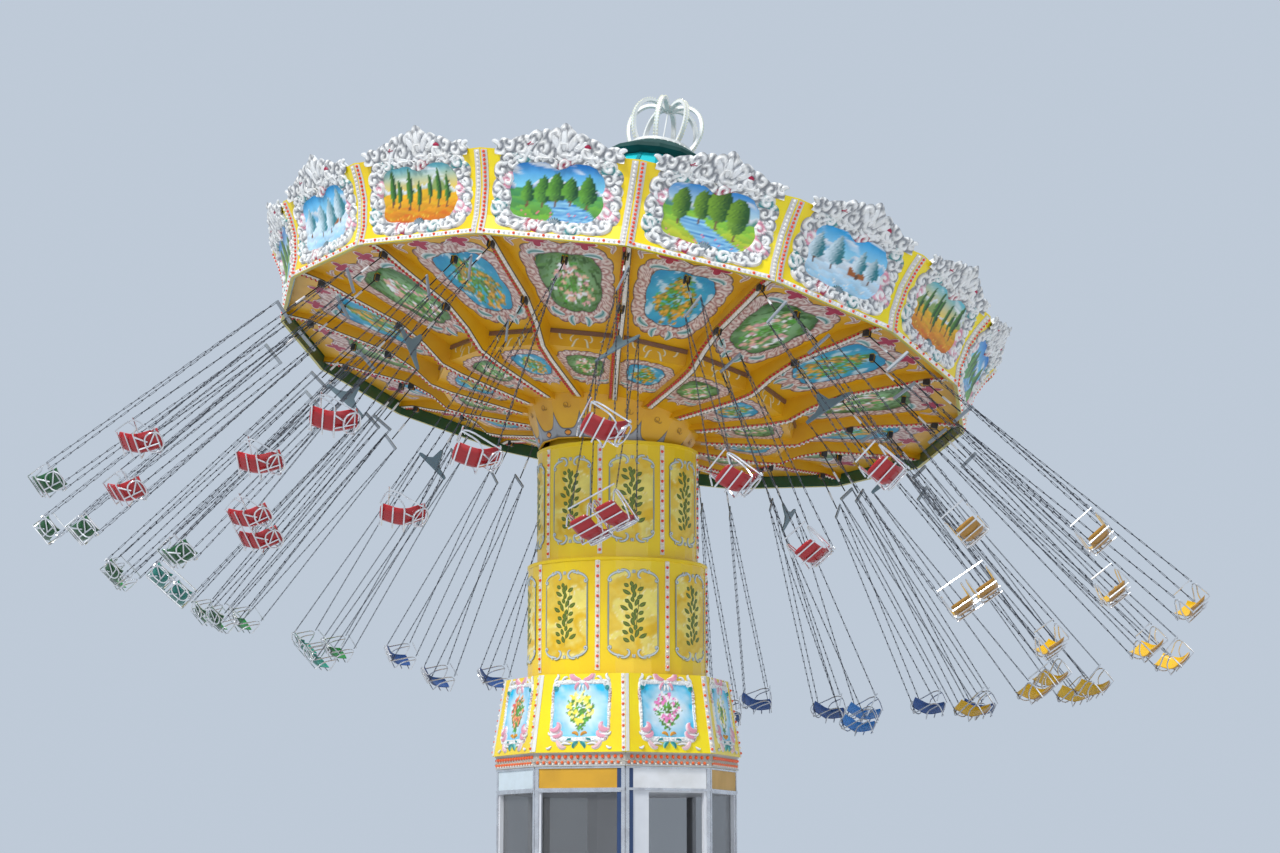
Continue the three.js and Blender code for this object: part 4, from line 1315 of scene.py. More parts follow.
@dataclass
class Tower:
    """The two drums, with lamp strips, marbled panels, scroll frames and leaf sprigs."""

    turn: float = math.radians(32.6)
    bays: int = 8
    clip: float = 0.13

    def frame_strokes(self, half: float, high: float) -> list[Stroke]:
        """The grey line round a panel with clipped corners, and scrolls at its head and foot."""
        clip = self.clip
        # The dark edge tints of the line and scrolls are painted shade at their feet.
        thin = dict(width=0.026, rise=0.008, tint=(0.3, 0.36, 0.36), edge=(0.08, 0.11, 0.11))
        sides = [Stroke(-half, clip, 90, high - 2 * clip, **thin)]
        scroll = dict(rise=0.014, tint=(0.55, 0.62, 0.66), edge=(0.12, 0.16, 0.17))
        run = half - 0.16
        ends = []
        for y, sign in ((high, 1), (0.0, -1)):
            ends += [
                Stroke(-half, y - clip * sign, 62 * sign, 1.22 * run, -1.9 * sign, -1.1 * sign, 0.2 * sign, 0.04,
                       **scroll),
                Stroke(-half, y - clip * sign, 250 * sign, 0.12, 2 * sign, 6 * sign, 9 * sign, 0.034, **scroll),
                Stroke(-0.19, y - 0.002 * sign, 12 * sign, 0.24, -1.5 * sign, -2.5 * sign, -9 * sign, 0.042, **scroll),
                Stroke(-0.22, y, 200 * sign, 0.1, 2 * sign, 5 * sign, 9 * sign, 0.028, **scroll),
                Stroke(-0.015, y - 0.05 * sign, 85 * sign, 0.05, 0, 0, 0, 0.03, **scroll),
            ]
        return both(sides + ends)

    def sprig(self, high: float) -> list[Stroke]:
        """A stem with pairs of leaves, in a panel of a height."""
        stem = Stroke(0.0, 0.14 * high, 80, 0.72 * high, 0.6, -0.25, 0.9, 0.012, 0.004, OLIVE)
        leaves = []
        for n in range(15):
            y = high * (0.18 + 0.045 * n)
            sign = 1 if n % 2 else -1
            sway = 0.02 * math.sin(2.2 * n)
            size = 0.115 + 0.03 * math.sin(1.7 * n)
            for lean, reach in ((30, 0.0), (70, 0.06)):
                leaves.append(Stroke(sway + sign * reach, y, 90 - sign * lean, size, 0, 0.6 * sign, 0, 0.062, 0.004,
                                     (0.16, 0.22, 0.015), (0.05, 0.08, 0.008)))
        return [stem] + leaves

    def drum(self, node: str, radius: float, low: float, high: float, top: float, body: str) -> None:
        """Dresses one drum.

        Args:
            node: the frame's node.
            radius: its outer radius.
            low: height of the lower end of its panels.
            high: height of their upper end.
            top: height of the drum's upper edge.
            body: the body that it rides on.
        """
        step = 2 * math.pi / self.bays
        tall = high - low
        half = 0.35 * radius * step
        bands = [Band(radius, self.turn + (k + 0.5) * step, low) for k in range(self.bays)]
        dress_node(node, GOLDEN)
        x, y = np.meshgrid(np.linspace(-half, half, 30), np.linspace(0, tall, 52))
        x = x / half * (half - np.maximum(0, np.maximum(self.clip - y, y - tall + self.clip)))
        panels = []
        for k, band in enumerate(bands):
            flow = y * 7 - x * 5 + 1.6 * waves(x * 4 + y * 3, 70 + k) + 1.2 * waves(y * 5 - x * 2, 90 + k)
            vein = np.sin(flow) * 0.6 + 0.4 * np.sin(2.3 * flow + 1.0 + k)
            tints = blend((0.86, 0.72, 0.16), (0.78, 0.48, 0.01), 0.5 + 0.6 * vein)
            tints = blend(tints, (0.92, 0.86, 0.5), np.clip(0.16 - np.abs(vein + 0.3), 0, 1) * 5.0)
            panels.append(relief_shell([band], x, y, 0.0025, tints))
        build_piece(f"{node}_panels", panels, [PAINTED], body)
        strokes = [stroke_shell(bands, self.frame_strokes(half, tall), steps=10, lift=0.002, blunt=0.6),
                   stroke_shell(bands, self.sprig(tall), steps=6, lift=0.0025, flat=True, blunt=0.08)]
        build_piece(f"{node}_ornament", strokes, [CARVED], body)
        strips = []
        foot = low - 0.18
        lamps = 22
        rows = np.linspace(0.0, top - foot - 0.01, 6)
        spots = np.linspace(0.06, top - foot - 0.07, lamps)
        tints = in_turn(lamps, 2, (0.72, 0.05, 0.015), (0.76, 0.7, 0.62))
        for k in range(self.bays):
            band = Band(radius, self.turn + k * step, foot)
            strips.append(strip_shell(band, -0.036, 0.036, rows, 0.006, (0.78, 0.74, 0.66)))
            strips.append(lamps_on(band, 0.0, spots, 0.006, 0.026, tints, 1))
        build_piece(f"{node}_lamps", strips, [TRIM, LAMPS], body)
        lip = [turned_shell([(radius - 0.005, top - 0.06), (radius + 0.012, top - 0.05), (radius + 0.012, top - 0.01),
                             (radius - 0.005, top - 0.002)], 96, (0.9, 0.62, 0.0), GROUND, hollow=True)]
        build_piece(f"{node}_lip", lip, [TRIM], body)

    def build(self) -> None:
        """Dresses both drums and the machinery."""
        self.drum("lower_drum", 1.37, 4.56, 5.86, 6.06, "lower_stage")
        self.drum("upper_drum", 1.237, 6.3, 7.6, 7.83, "upper_stage")
        for node in ("turntable_mast", "tilt_head"):
            dress_node(node, GREY)


@dataclass
class Skirt:
    """The leaning eight-sided skirt over the booth, with framed flower panels and the lamp cornice."""

    turn: float = BASE_TURN
    bays: int = BASE_SIDES
    profile: Profile = ((1.886, 3.17), (1.702, 4.315))
    cornice: Profile = ((1.83, 2.972), (1.83, 3.17))

    def carving(self) -> list[Stroke]:
        """White and pink rococo frame of one flower panel."""
        # The grey feet of the white strokes are painted shade; the pink, teal and white edges of the others are paint.
        left = [
            Stroke(-0.375, 0.97, 0, 0.3, 7.5, 7.5, 7.5, 0.055, 0.03, WHITE, SHADED_WHITE),
            Stroke(-0.375, 0.95, 90, 0.2, 9, 9, 9, 0.06, 0.034, TEAL, (0.2, 0.7, 0.68)),
            Stroke(-0.43, 1.04, 75, 0.15, -5, 2, 7, 0.05, 0.026, WHITE, SHADED_WHITE),
            Stroke(-0.02, 1.07, 182, 0.24, 1, -3, -5, 0.1, 0.034, PINK, WHITE),
            Stroke(-0.02, 1.04, 215, 0.16, 0, 1, 5, 0.06, 0.03, PINK, WHITE),
            Stroke(-0.02, 1.0, 262, 0.1, 0, 0, 0, 0.04, 0.03, WHITE),
            Stroke(-0.22, 1.1, 120, 0.12, 6, 2, -6, 0.04, 0.03, WHITE, SHADED_WHITE),
            Stroke(-0.455, 0.36, 285, 0.26, 5, 3.2, 6, 0.11, 0.04, PINK, WHITE),
            Stroke(-0.42, 0.26, 300, 0.22, 4, 2, 8, 0.09, 0.036, PINK, WHITE),
            Stroke(-0.36, 0.18, 330, 0.22, -4, 1.5, 8, 0.08, 0.032, (0.8, 0.52, 0.55), WHITE),
            Stroke(-0.48, 0.3, 265, 0.18, 6, 2, -8, 0.05, 0.03, WHITE, SHADED_WHITE),
            Stroke(-0.42, 0.09, 200, 0.1, 4, -2, -8, 0.04, 0.026, WHITE, SHADED_WHITE),
            Stroke(-0.12, 0.12, 190, 0.2, -4, 2, 6, 0.045, 0.028, WHITE, SHADED_WHITE),
            Stroke(-0.015, 0.15, 200, 0.13, 0, 1.5, 5, 0.065, 0.034, TEAL, (0.3, 0.75, 0.7)),
            Stroke(-0.1, 0.18, 160, 0.1, 0, 1.5, 4, 0.05, 0.034, TEAL, WHITE),
            Stroke(-0.02, 0.24, 120, 0.12, 0, 2, 4, 0.05, 0.026, (0.75, 0.3, 0.03), AMBER),
        ]
        return both(left)

    def build(self) -> None:
        """Makes and dresses the skirt's pieces."""
        dress_node("skirt", YELLOW)
        sides = bays_round(GROUND, self.bays, self.profile, self.turn)
        across, along, x, y = cushion_grid(46, 46, 0.43, 0.2, 1.02, 0.14)
        blooms = (((0.75, 0.08, 0.05), (0.85, 0.3, 0.1)), ((0.9, 0.6, 0.02), (0.92, 0.8, 0.2)),
                  ((0.8, 0.15, 0.4), (0.88, 0.75, 0.75)), ((0.85, 0.8, 0.7), (0.85, 0.6, 0.05)))
        posies = [Posy(500 + k, (0.0, 0.5, 0.78), (0.82, 0.9, 0.94), blooms[k % 4], 0.5, 230, 0.74)
                  for k in range(self.bays)]
        pictures = [relief_shell([side], across, along, 0.004, posy.paint(x, y)) for side, posy in zip(sides, posies)]
        build_piece("skirt_pictures", pictures, [PAINTED], "base")
        wreath = Wreath((0.41, 0.23, 1.0), (0.46, 0.15, 1.07), 34, 0.05, around=220, across=6, lobes=6, leaves=17,
                        depth=0.03, power=9.0)
        x, y, part, height, cell = wreath.carved()
        rise = np.clip(np.minimum(part, 1 - part) * 7, 0.0, 1.0) * (0.01 + 0.02 * height)
        tints = wreath.tint(height, cell, WHITE, WHITE, {n: MAUVE for n in (2, 3, 14, 15, 30, 31)})
        frames = [relief_shell(sides, x, y, rise, tints, ring=True),
                  stroke_shell(sides, self.carving(), steps=10, lift=0.003, blunt=0.25)]
        build_piece("skirt_frames", frames, [CARVED], "base")
        strips = []
        lamps = 14
        rows = np.linspace(0.01, sides[0].length() - 0.01, 3)
        spots = np.linspace(0.06, sides[0].length() - 0.06, lamps)
        tints = in_turn(lamps, 2, (0.75, 0.1, 0.02), (0.8, 0.74, 0.66))
        for side in sides:
            half = side.half(rows)
            for sign in (-1, 1):
                strips.append(edge_strip(side, sign, half - 0.055, half - 0.004, rows, 0.01, (0.76, 0.76, 0.74)))
            strips.append(lamps_on(side, side.half(spots) - 0.03, spots, 0.01, 0.025, tints, 1))
        scallops = [Stroke(0.1 * n - 0.66, 0.15, -80, 0.15, 0, 2.6, 0, 0.018, 0.014, (0.6, 0.55, 0.45))
                    for n in range(lamps)]
        spots = np.linspace(-0.62, 0.62, lamps)
        for side in bays_round(GROUND, self.bays, self.cornice, self.turn):
            strips.append(level_strip(side, np.array([0.01, 0.19]), 0.0, 0.003, (0.45, 0.42, 0.38)))
            strips.append(stroke_shell([side], scallops, steps=8, lift=0.0, blunt=0.7))
            for shift, along, radius, tint in ((0.02, 0.135, 0.031, (0.8, 0.1, 0.01)),
                                               (-0.03, 0.055, 0.027, (0.8, 0.14, 0.03)),
                                               (0.02, 0.03, 0.018, (0.8, 0.76, 0.66))):
                strips.append(lamps_on(side, spots + shift, along, 0.006, radius, tint, 1))
            strips += [level_strip(side, np.array([0.0, 0.02]) + low, 0.0, 0.02, (0.5, 0.5, 0.5))
                       for low in (0.0, 0.178)]
        build_piece("skirt_lamps", strips, [TRIM, LAMPS], "base")


@dataclass
class Booth:
    """The pay booth: boards under the eaves, bright posts, window frames and plain panels."""

    turn: float = BASE_TURN
    bays: int = BASE_SIDES
    radius: float = 1.8
    eaves: float = 2.97
    sill: float = 1.15
    head: float = 2.6
    window_half: float = 0.63
    board: tuple[float, float] = (2.66, 2.94)
    rails: tuple[float, float] = (2.625, 2.966)
    post: float = 0.055
    door_bay: int = 6
    blue_edges: tuple[tuple[int, int], ...] = ((5, 1), (6, -1))

    def bay(self, k: int, side: Bay) -> list[Shell]:
        """The trim of one bay: board and its rails, posts, and sill, head and panel where there is no door.

        Args:
            k: its number, for its colours.
            side: its side.

        Returns:
            Its strips.
        """
        half = float(side.half(0.0))
        rail, ledge = (0.82, 0.83, 0.84), (0.7, 0.71, 0.73)
        board = {4: (0.6, 0.68, 0.72), self.door_bay: (0.8, 0.8, 0.8)}.get(k, (0.62, 0.33, 0.02))
        level = [(half - 0.06, *self.board, 0.012, board, 0), (half, self.rails[0], self.board[0], 0.03, rail, 1),
                 (half, self.board[1], self.rails[1], 0.03, rail, 1)]
        if k != self.door_bay:
            level += [(self.window_half, self.sill - 0.05, self.sill, 0.025, ledge, 1),
                      (self.window_half, self.head, self.head + 0.03, 0.025, ledge, 1),
                      (0.55, 0.55, 1.0, 0.012, (0.9, 0.62, 0.02), 0)]
        level.append((half - 0.07, 0.03, 0.36, 0.01, (0.5, 0.52, 0.54), 0))
        shells = [strip_shell(side, -reach, reach, np.array([low, high]), thick, tint, finish)
                  for reach, low, high, thick, tint, finish in level]
        rows = np.array([0.02, 2.95])
        for sign in (-1, 1):
            shells.append(edge_strip(side, sign, half - self.post, half - 0.002, rows, 0.02, (0.84, 0.85, 0.86), 1))
            if (k, sign) in self.blue_edges:
                shells.append(edge_strip(side, sign, half - 0.12, half - self.post, rows, 0.014, (0.02, 0.05, 0.14)))
        return shells

    def build(self) -> None:
        """Makes and dresses the booth's pieces."""
        dress_node("booth", Finish("booth_enamel", base=(0.72, 0.73, 0.75), second=(0.62, 0.63, 0.66), grain=1.5,
                                   rough=0.35, bump=0.05))
        glass = Finish("window_glass", base=(0.12, 0.12, 0.12), rough=0.06, bump=0.0)
        dress_node("booth_glazing", glass)
        tree = glass.make().node_tree
        feed(tree, tree.nodes["Principled BSDF"], {"Alpha": 0.42, "Specular IOR Level": 0.8})
        sides = bays_round(GROUND, self.bays, ((self.radius, 0.0), (self.radius, self.eaves)), self.turn)
        shells = [shell for k, side in enumerate(sides) for shell in self.bay(k, side)]
        build_piece("booth_trim", shells, [TRIM, STEEL], "base")


@dataclass
class Roof:
    """The roof cover with its seams, the dark cupola, its lamp ring and the crown of arches."""

    place: Place
    bays: int = CANOPY_SIDES
    profile: Profile = ((5.33, 0.2753), (3.0, 1.35), (1.6, 2.3), (0.9, 3.15), (0.73, 3.53))
    arch: Profile = ((0.48, 3.9), (0.59, 4.08), (0.64, 4.33), (0.575, 4.56), (0.42, 4.705), (0.23, 4.735),
                     (0.06, 4.66))
    arches: int = 8
    arch_turn: float = math.radians(32.0)
    band: tuple[float, float] = (0.07, 0.05)

    def crown(self) -> list[Shell]:
        """The crown: bent bands from a ring to a small hub over a thin rod.

        Returns:
            Its shells. A band's section is its width along the azimuth by its depth against the line's outward
            normal, which is its direction turned a quarter back.
        """
        line = smoothed(np.array(self.arch))
        ahead = unit(np.gradient(line, axis=0))
        inner = line - self.band[1] * np.stack([ahead[:, 1], -ahead[:, 0]], axis=1)
        half = self.band[0] / 2
        shells = []
        for k in range(self.arches):
            azimuth = self.arch_turn + k * 2 * math.pi / self.arches
            c, s = math.cos(azimuth), math.sin(azimuth)
            plane, side = np.array([[c, s, 0.0], [0.0, 0.0, 1.0]]), np.array([-s, c, 0.0])
            grid = np.stack([edge @ plane + across * side for edge, across in
                             ((line, -half), (line, half), (inner, half), (inner, -half))], axis=1)
            shells.append(woven(self.place.put(grid), WHITE, ring=True, caps=True).facing())
        shells.append(turned_shell([(0.41, 3.885), (0.51, 3.885), (0.51, 3.93), (0.41, 3.93)], 48, WHITE, self.place,
                                   hollow=True))
        shells.append(turned_shell([(0.012, 3.885), (0.012, 4.63), (0.08, 4.63), (0.08, 4.67), (0.02, 4.7)], 16, WHITE,
                                   self.place))
        return shells

    def build(self) -> None:
        """Makes and dresses the roof's pieces."""
        dress_node("roof_cover", Finish("roof_cloth", base=(0.0, 0.6, 0.64), second=(0.0, 0.45, 0.5), grain=1.4,
                                        rough=0.55, bump=0.2, surface=Surface.CLOTH))
        dress_node("cupola", Finish("cupola_enamel", base=(0.003, 0.06, 0.052), second=(0.002, 0.035, 0.03), grain=2.0,
                                    rough=0.7))
        build_piece("crown_arches", self.crown(), [TRIM], "canopy", "crown_ornament")
        seams = [strip_shell(ridge, -0.03, 0.03, ridge.line()[0], 0.012, (0.01, 0.3, 0.34))
                 for ridge in ridges_round(self.place, self.bays, self.profile)]
        build_piece("roof_seams", seams, [TRIM], "canopy")
        ring_radius, ring_height, ring_lamps = 0.53, 3.872, 32
        angle = np.arange(ring_lamps) * 2 * np.pi / ring_lamps
        ring = np.stack([ring_radius * np.cos(angle), ring_radius * np.sin(angle), ring_height + 0 * angle], axis=-1)
        out = np.stack([np.cos(angle), np.sin(angle), 1 + 0 * angle], axis=-1) / math.sqrt(2)
        lamps = [lamp_shell(self.place.put(ring), out @ self.place.turn.T, 0.022, (0.8, 0.82, 0.78))]
        line = tuple((float(r), float(h)) for r, h in smoothed(np.array(self.arch)))
        for arch in ridges_round(self.place, self.arches, line, self.arch_turn):
            spots = np.arange(0.03, arch.length() - 0.02, 0.05)
            for across in (-0.028, 0.028):
                lamps.append(lamps_on(arch, across, spots, 0.0, 0.014, (0.8, 0.78, 0.6)))
        build_piece("crown_lamps", lamps, [LAMPS], "canopy")


class Colour(Enum):
    """Seat colours, as (outer skin, inner skin) tints: the outer skin is the same colour darker, painted shade."""

    YELLOW = ((0.42, 0.2, 0.015), (0.85, 0.5, 0.01))
    NAVY = ((0.005, 0.03, 0.13), (0.015, 0.08, 0.3))
    GREEN = ((0.005, 0.09, 0.02), (0.02, 0.3, 0.05))
    TEAL = ((0.01, 0.2, 0.16), (0.02, 0.35, 0.25))
    BLUE = ((0.02, 0.12, 0.42), (0.04, 0.25, 0.7))
    RED = ((0.4, 0.004, 0.008), (0.7, 0.012, 0.015))


@dataclass(frozen=True)
class Swing:
    """One swing's place and kind, read from the frame's joint."""

    node: str
    pivot: Array
    axis: Array
    up: Array
    out: float
    ring: str
    bay: int

    @property
    def double(self) -> bool:
        """Whether it carries two seats."""
        return self.ring == "middle" and self.bay % 2 == 0

    @property
    def drop(self) -> float:
        """Distance from the pivot to the seat's centre."""
        return {"outer": 5.07, "middle": 4.84, "panel": 5.13}[self.ring]

    @property
    def twist(self) -> float:
        """How far the seat has swivelled on its rod."""
        return math.radians(42.0 if self.node == "swing_middle_13" else 15.0)

    @property
    def colour(self) -> Colour:
        """Its colour: quarters of the canopy, with lighter doubles in two of them."""
        quarter = (self.bay + (3 if self.ring == "panel" else 2)) % CANOPY_SIDES // (CANOPY_SIDES // 4)
        if self.double:
            return (Colour.YELLOW, Colour.BLUE, Colour.TEAL, Colour.RED)[quarter]
        return (Colour.YELLOW, Colour.NAVY, Colour.GREEN, Colour.RED)[quarter]

    def hanger(self) -> Place:
        """The hanger's place: X away from the tower in the canopy's plane, Y along the pin, Z up."""
        y = -self.axis
        return Place(np.stack([np.cross(y, self.up), y, self.up], axis=1), self.pivot)

    def place(self) -> Place:
        """The swing's place: its hanger turned outwards about the pin by its angle in flight."""
        c, s = math.cos(self.out), math.sin(self.out)
        tilt = np.array([[c, 0.0, -s], [0.0, 1.0, 0.0], [s, 0.0, c]])
        return Place(self.hanger().turn @ tilt, self.pivot)


def joint_table() -> dict[str, dict]:
    """The frame's joints by name."""
    return {joint["name"]: joint for joint in frame["record"]["behaviour"]["joints"]}


def swings() -> list[Swing]:
    """Every swing, from the joints and couplings of the frame.

    Returns:
        The swings. A joint's lower limit is the swing hanging along the canopy's axis, and a follower's
        angle in flight is the leader's times its ratio.
    """
    joints = joint_table()
    ratios = {pair["joint"]: (pair["ratio"], pair["follows"])
              for pair in frame["record"]["behaviour"]["couplings"]}
    up = unit(np.array(joints["canopy_turn"]["axis"], float))
    found = []
    for name, joint in joints.items():
        if not name.endswith("_hang"):
            continue
        ratio, leader = ratios.get(name, (1.0, name))
        out = -math.radians(joints[leader]["range_deg"][0]) * ratio
        node = name.removesuffix("_hang")
        _, ring, bay = node.split("_")
        found.append(Swing(node, np.array(joint["pos_m"]), unit(np.array(joint["axis"])), up, out, ring,
                           int(bay) - 1))
    return found


@dataclass
class SeatMaker:
    """Makes one swing in its own frame: pivot at the origin, X out, seat facing -Y."""

    swing: Swing
    seat_half: float = 0.14
    seat_step: float = 0.4
    frame_half: float = 0.18
    double_half: float = 0.36
    rod: float = 0.72
    plate: float = 0.26
    link: float = 0.13
    tube_radius: float = 0.0115
    chain_wire: float = 0.0046
    link_half: float = 0.009
    steel: Rgb = (0.78, 0.79, 0.82)

    def bucket(self, x: float) -> list[Shell]:
        """A bucket: a bent shell with turned-up sides, a fluted outside and an inner skin; the outside is tinted
        darker than the inside, painted shade.

        Args:
            x: its middle across the swing.

        Returns:
            Outer and inner skins joined at the rim. The section is a rounded path from the front lip under
            the seat and up the sloping back. Across, it rises with the fourth power towards the sides, and
            a squared cosine makes the flutes.
        """
        path = rounded([(0, -0.243, -0.112), (0, -0.228, -0.146), (0, 0.085, -0.15), (0, 0.262, 0.05),
                        (0, 0.296, 0.094)])
        ahead = unit(np.gradient(path, axis=0))
        normal = np.stack([0 * ahead[:, 0], ahead[:, 2], -ahead[:, 1]], axis=-1)
        u = np.linspace(-1, 1, 17)
        curl = 0.034 * u**4
        flute = 0.006 * np.cos(u * 3.0 * np.pi) ** 2 * (np.abs(u) < 0.85)
        base = path[:, None, :] + np.array([1.0, 0, 0]) * (u * self.seat_half)[None, :, None]
        outer = base + normal[:, None] * (flute - curl)[None, :, None]
        inner = base - normal[:, None] * (curl + 0.012)[None, :, None]
        loop = np.concatenate([outer, inner[:, ::-1]], axis=1) + np.array([x, 0, -self.swing.drop])
        count = len(u)
        # The outer skin takes the darker tint, painted shade; the inner skin takes the seat's colour.
        tints = np.broadcast_to(np.repeat(self.swing.colour.value, count, 0), loop.shape)
        ends = np.stack([np.stack([row[:count], row[count:][::-1]]) for row in (loop[0], loop[-1])])
        return [woven(loop, tints, ring=True, finish=0).facing(), woven(ends, (0.5, 0.5, 0.52), finish=0)]

    def tube(self, corners: list[Point], closed: bool = False) -> Shell:
        """A bent steel tube through corners round the seat's centre."""
        path = rounded(corners, closed) - np.array([0, 0, self.swing.drop])
        return tube_shell(path, self.tube_radius, self.steel, 1)

    def side_frame(self, x: float) -> list[Shell]:
        """One side's tubes: front post with the sloping arm, and the lower rail down to the bend."""
        return [
            self.tube([(x, -0.236, -0.156), (x, -0.242, 0.19), (x, 0.2, 0.026), (x, 0.292, 0.004), (x, 0.27, 0.06)]),
            self.tube([(x, -0.238, 0.085), (x, 0.02, 0.002), (x, 0.102, -0.16)]),
        ]

    def back_frame(self, x: float) -> list[Shell]:
        """The tubes behind one bucket: an upright with two braces, and a loop behind the back."""
        left, right, upright = x - self.seat_half, x + self.seat_half, x - 0.045
        low, middle, high = (0.112, -0.158), (0.197, -0.055), (0.288, 0.058)
        return [
            self.tube([(upright, *low), (upright, *middle), (upright, *high)]),
            self.tube([(upright, *middle), (right, *high)]),
            self.tube([(right, *low), (x + 0.02, *middle)]),
            self.tube([(left, 0.2, -0.1), (right, 0.2, -0.1), (right, 0.335, 0.08), (left, 0.335, 0.08)], closed=True),
        ]

    def chain(self, top: Array, foot: Array) -> Shell:
        """Links between two points, each turned a quarter from the last.

        Args:
            top: upper end.
            foot: lower end.

        Returns:
            The shell: each link is a closed path of four corners with a three-sided section.
        """
        span = foot - top
        length = float(np.linalg.norm(span))
        along = span / length
        count = int(length / self.link)
        first = unit(np.cross(along, [0.0, 1.0, 0.0]))
        second = np.cross(along, first)
        middles = top + along * ((np.arange(count) + 0.5) * length / count)[:, None]
        side, other = in_turn(count, 2, first, second), in_turn(count, 2, second, first)
        corner = np.array([(1, 1), (1, -1), (-1, -1), (-1, 1), (1, 1)])
        half_long = 0.58 * length / count
        centre = (middles[:, None] + along * (corner[:, 0] * half_long)[None, :, None]
                  + side[:, None] * (corner[:, 1] * self.link_half)[None, :, None])
        out = unit(along * (corner[:, 0:1] * 0.7)[None] + side[:, None] * corner[None, :, 1:2])
        ring = hoops(out, other[:, None], WIRE_SIDES)
        return woven(centre[:, :, None] + self.chain_wire * ring, (0.6, 0.61, 0.63), ring=True, finish=2).facing()

    def spreader(self, half: float, hold: float) -> Shell:
        """What the rod carries: a flat bar, or a double's three-cornered plate with hollow edges."""
        if not self.swing.double:
            return box_shell((-half - 0.02, -0.013, hold - 0.026), (half + 0.02, 0.013, hold + 0.026),
                             (0.3, 0.34, 0.38), chamfer=0.006, finish=3)
        across = np.array([-1.0, -0.9, -0.5, -0.22, -0.07, 0.07, 0.22, 0.5, 0.9, 1.0]) * (half + 0.02)
        top = hold + np.array([0.015, 0.03, 0.055, 0.12, 0.31, 0.31, 0.12, 0.055, 0.03, 0.015])
        foot = np.full(len(across), hold - 0.025)
        grid = np.stack([np.stack([across, np.full(len(across), y), z], axis=-1)
                         for y, z in ((-0.011, foot), (0.011, foot), (0.011, top), (-0.011, top))], axis=1)
        return woven(grid, (0.15, 0.22, 0.26), ring=True, caps=True, finish=3).facing()

    def hang_rod(self) -> Shell:
        """The dark rod with its pale sleeve."""
        black, pale = (0.02, 0.02, 0.02), (0.75, 0.75, 0.76)
        profile = [(0.0001, 0.024, black), (0.010, 0.02, black), (0.010, -0.32, black), (0.017, -0.33, pale),
                   (0.017, -0.5, pale), (0.010, -0.51, black), (0.010, 0.03 - self.rod, black),
                   (0.0001, 0.029 - self.rod, black)]
        grid = turned_grid(np.array([row[:2] for row in profile]), 8)
        tints = np.array([row[2] for row in profile])
        return woven(grid, np.broadcast_to(tints[:, None], grid.shape), ring=True, caps=True, finish=3).facing()

    def make(self) -> list[Shell]:
        """All shells of the swing in its own frame."""
        swing = self.swing
        seats = [-self.seat_step / 2, self.seat_step / 2] if swing.double else [0.0]
        half = self.double_half if swing.double else self.frame_half
        hold = -self.rod - (self.plate if swing.double else 0.025)
        shells: list[Shell] = []
        for x in seats:
            shells += self.bucket(x) + self.back_frame(x)
        for x in ([-half, -0.04, 0.04, half] if swing.double else [-half, half]):
            shells += self.side_frame(x)
        for y, z in ((-0.244, 0.19), (-0.2, -0.162), (-0.05, -0.164), (0.102, -0.16), (0.27, 0.058)):
            shells.append(self.tube([(-half, y, z), (0.0, y, z), (half, y, z)]))
        for x in (-half, half):
            for y, z in ((-0.2, 0.175), (0.236, 0.022)):
                shells.append(self.chain(np.array([x, 0.0, hold]), np.array([x, y, z - swing.drop])))
        shells.append(self.spreader(half, hold))
        c, s = math.cos(swing.twist), math.sin(swing.twist)
        swivelled = Place(np.array([[c, -s, 0], [s, c, 0], [0, 0, 1.0]]), np.zeros(3))
        for shell in shells:
            shell.points = swivelled.put(shell.points)
        return [*shells, self.hang_rod()]


def build_swings() -> None:
    """Makes every swing, in its place in flight, in place of its plain node."""
    for swing in swings():
        place, shells = swing.place(), SeatMaker(swing).make()
        for shell in shells:
            shell.points = place.put(shell.points)
        build_piece(f"{swing.node}_dressed", shells, [SEAT_SHELL, SEAT_TUBE, CHAIN, TRIM], swing.node,
                    stands_for=swing.node)


def canopy_place() -> Place:
    """The canopy's own frame: origin in the rim's plane, Z along its axis."""
    turn = joint_table()["canopy_turn"]
    rim_above_pivot = 0.27
    axis = unit(np.array(turn["axis"], float))
    return leaning(axis, np.array(turn["pos_m"], float) + rim_above_pivot * axis)


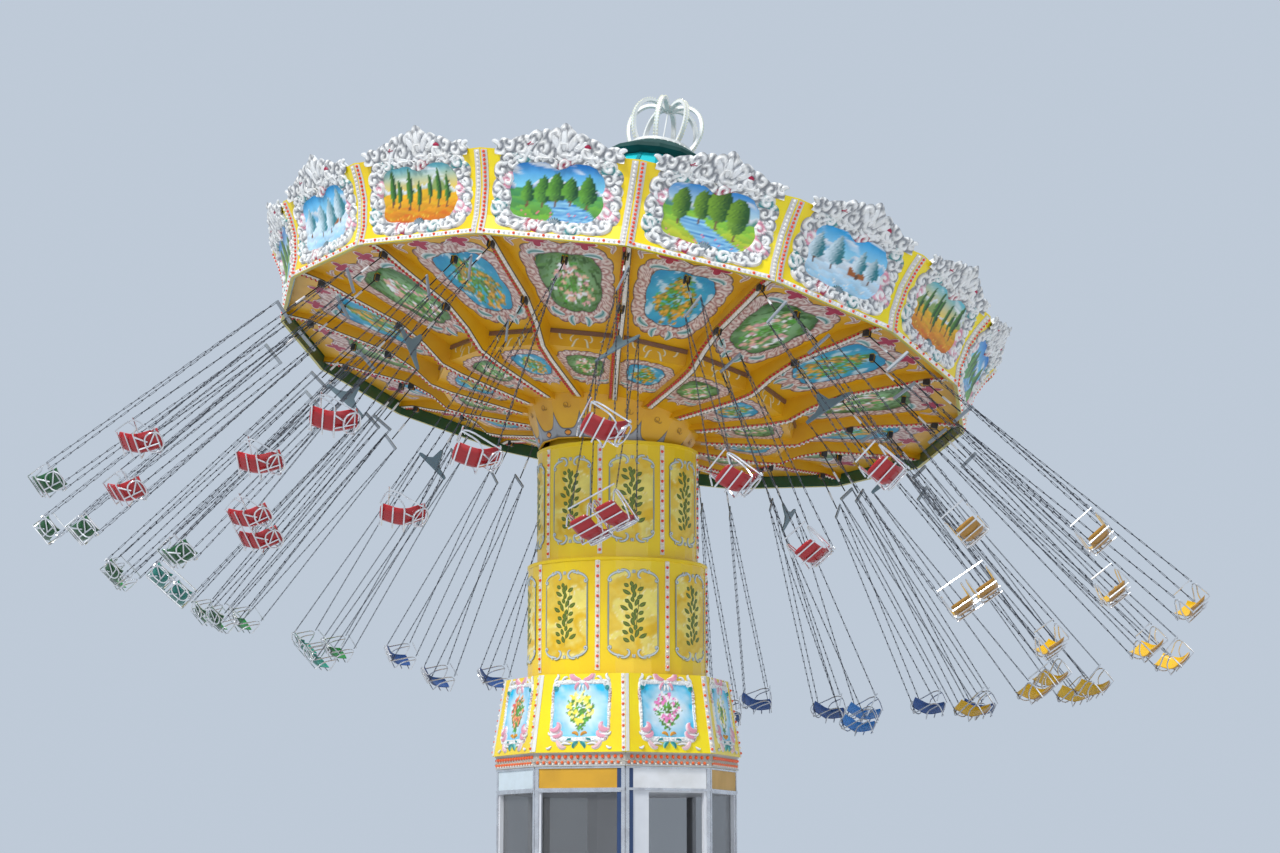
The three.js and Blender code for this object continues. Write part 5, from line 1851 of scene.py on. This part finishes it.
@dataclass
class Studio:
    """The pale floor, soft light and the camera at the photograph's place."""

    eye: Point = (0.0, -36.646, 1.6)
    pitch: float = 0.1797
    yaw: float = 0.0094
    focal_px: float = 2400.0
    frame_px: float = 1280.0
    sensor: float = 36.0
    floor_half: float = 70.0

    def camera(self) -> None:
        """The camera: a lens of focal_px over frame_px of its sensor, turned up and slightly right."""
        data = bpy.data.cameras.new("camera")
        data.sensor_width = self.sensor
        data.lens = self.sensor * self.focal_px / self.frame_px
        data.clip_end = 500.0
        camera = add_object("camera", data)
        camera.location = self.eye
        camera.rotation_euler = (math.pi / 2 + self.pitch, 0.0, -self.yaw)
        bpy.context.scene.camera = camera

    def floor(self) -> None:
        """A wide pale floor with a faint mottle."""
        line = np.linspace(-self.floor_half, self.floor_half, 9)
        x, y = np.meshgrid(line, line)
        grid = np.stack([x, y, np.full_like(x, -0.002)], axis=-1)
        mesh = bpy.data.meshes.new("floor")
        shell = woven(grid, WHITE).facing(np.tile([0.0, 0.0, 1.0], (x.size, 1)))
        mesh.from_pydata(shell.points.tolist(), [], shell.faces.tolist())
        mesh.materials.append(Finish("floor_matt", base=(0.62, 0.63, 0.65), second=(0.58, 0.59, 0.61), grain=0.3,
                                     rough=0.8, bump=0.0).make())
        floor = add_object("floor", mesh)

    def light(self, name: str, energy: float, angle: float, turn: Point) -> None:
        """A far soft light from one direction."""
        data = bpy.data.lights.new(name, "SUN")
        data.energy = energy
        data.angle = math.radians(angle)
        add_object(name, data).rotation_euler = tuple(math.radians(v) for v in turn)

    def build(self) -> None:
        """Makes camera, floor, lights and the pale surround."""
        self.camera()
        self.floor()
        self.light("key", 2.7, 12.0, (42.0, 0.0, -38.0))
        self.light("fill", 0.8, 60.0, (105.0, 0.0, 15.0))
        world = bpy.data.worlds.new("studio")
        world.use_nodes = True
        background = world.node_tree.nodes["Background"]
        background.inputs["Color"].default_value = (0.72, 0.82, 0.95, 1.0)
        background.inputs["Strength"].default_value = 0.72
        bpy.context.scene.world = world
        bpy.context.scene.view_settings.view_transform = "Standard"


def main() -> None:
    """Builds every sub-assembly in order."""
    logging.basicConfig(level=logging.INFO, format="%(message)s")
    Studio().build()
    place = canopy_place()
    Facia(place).build()
    Ceiling(place).build()
    Roof(place).build()
    Tower().build()
    Skirt().build()
    Booth().build()
    build_swings()


if __name__ == "__main__":
    main()
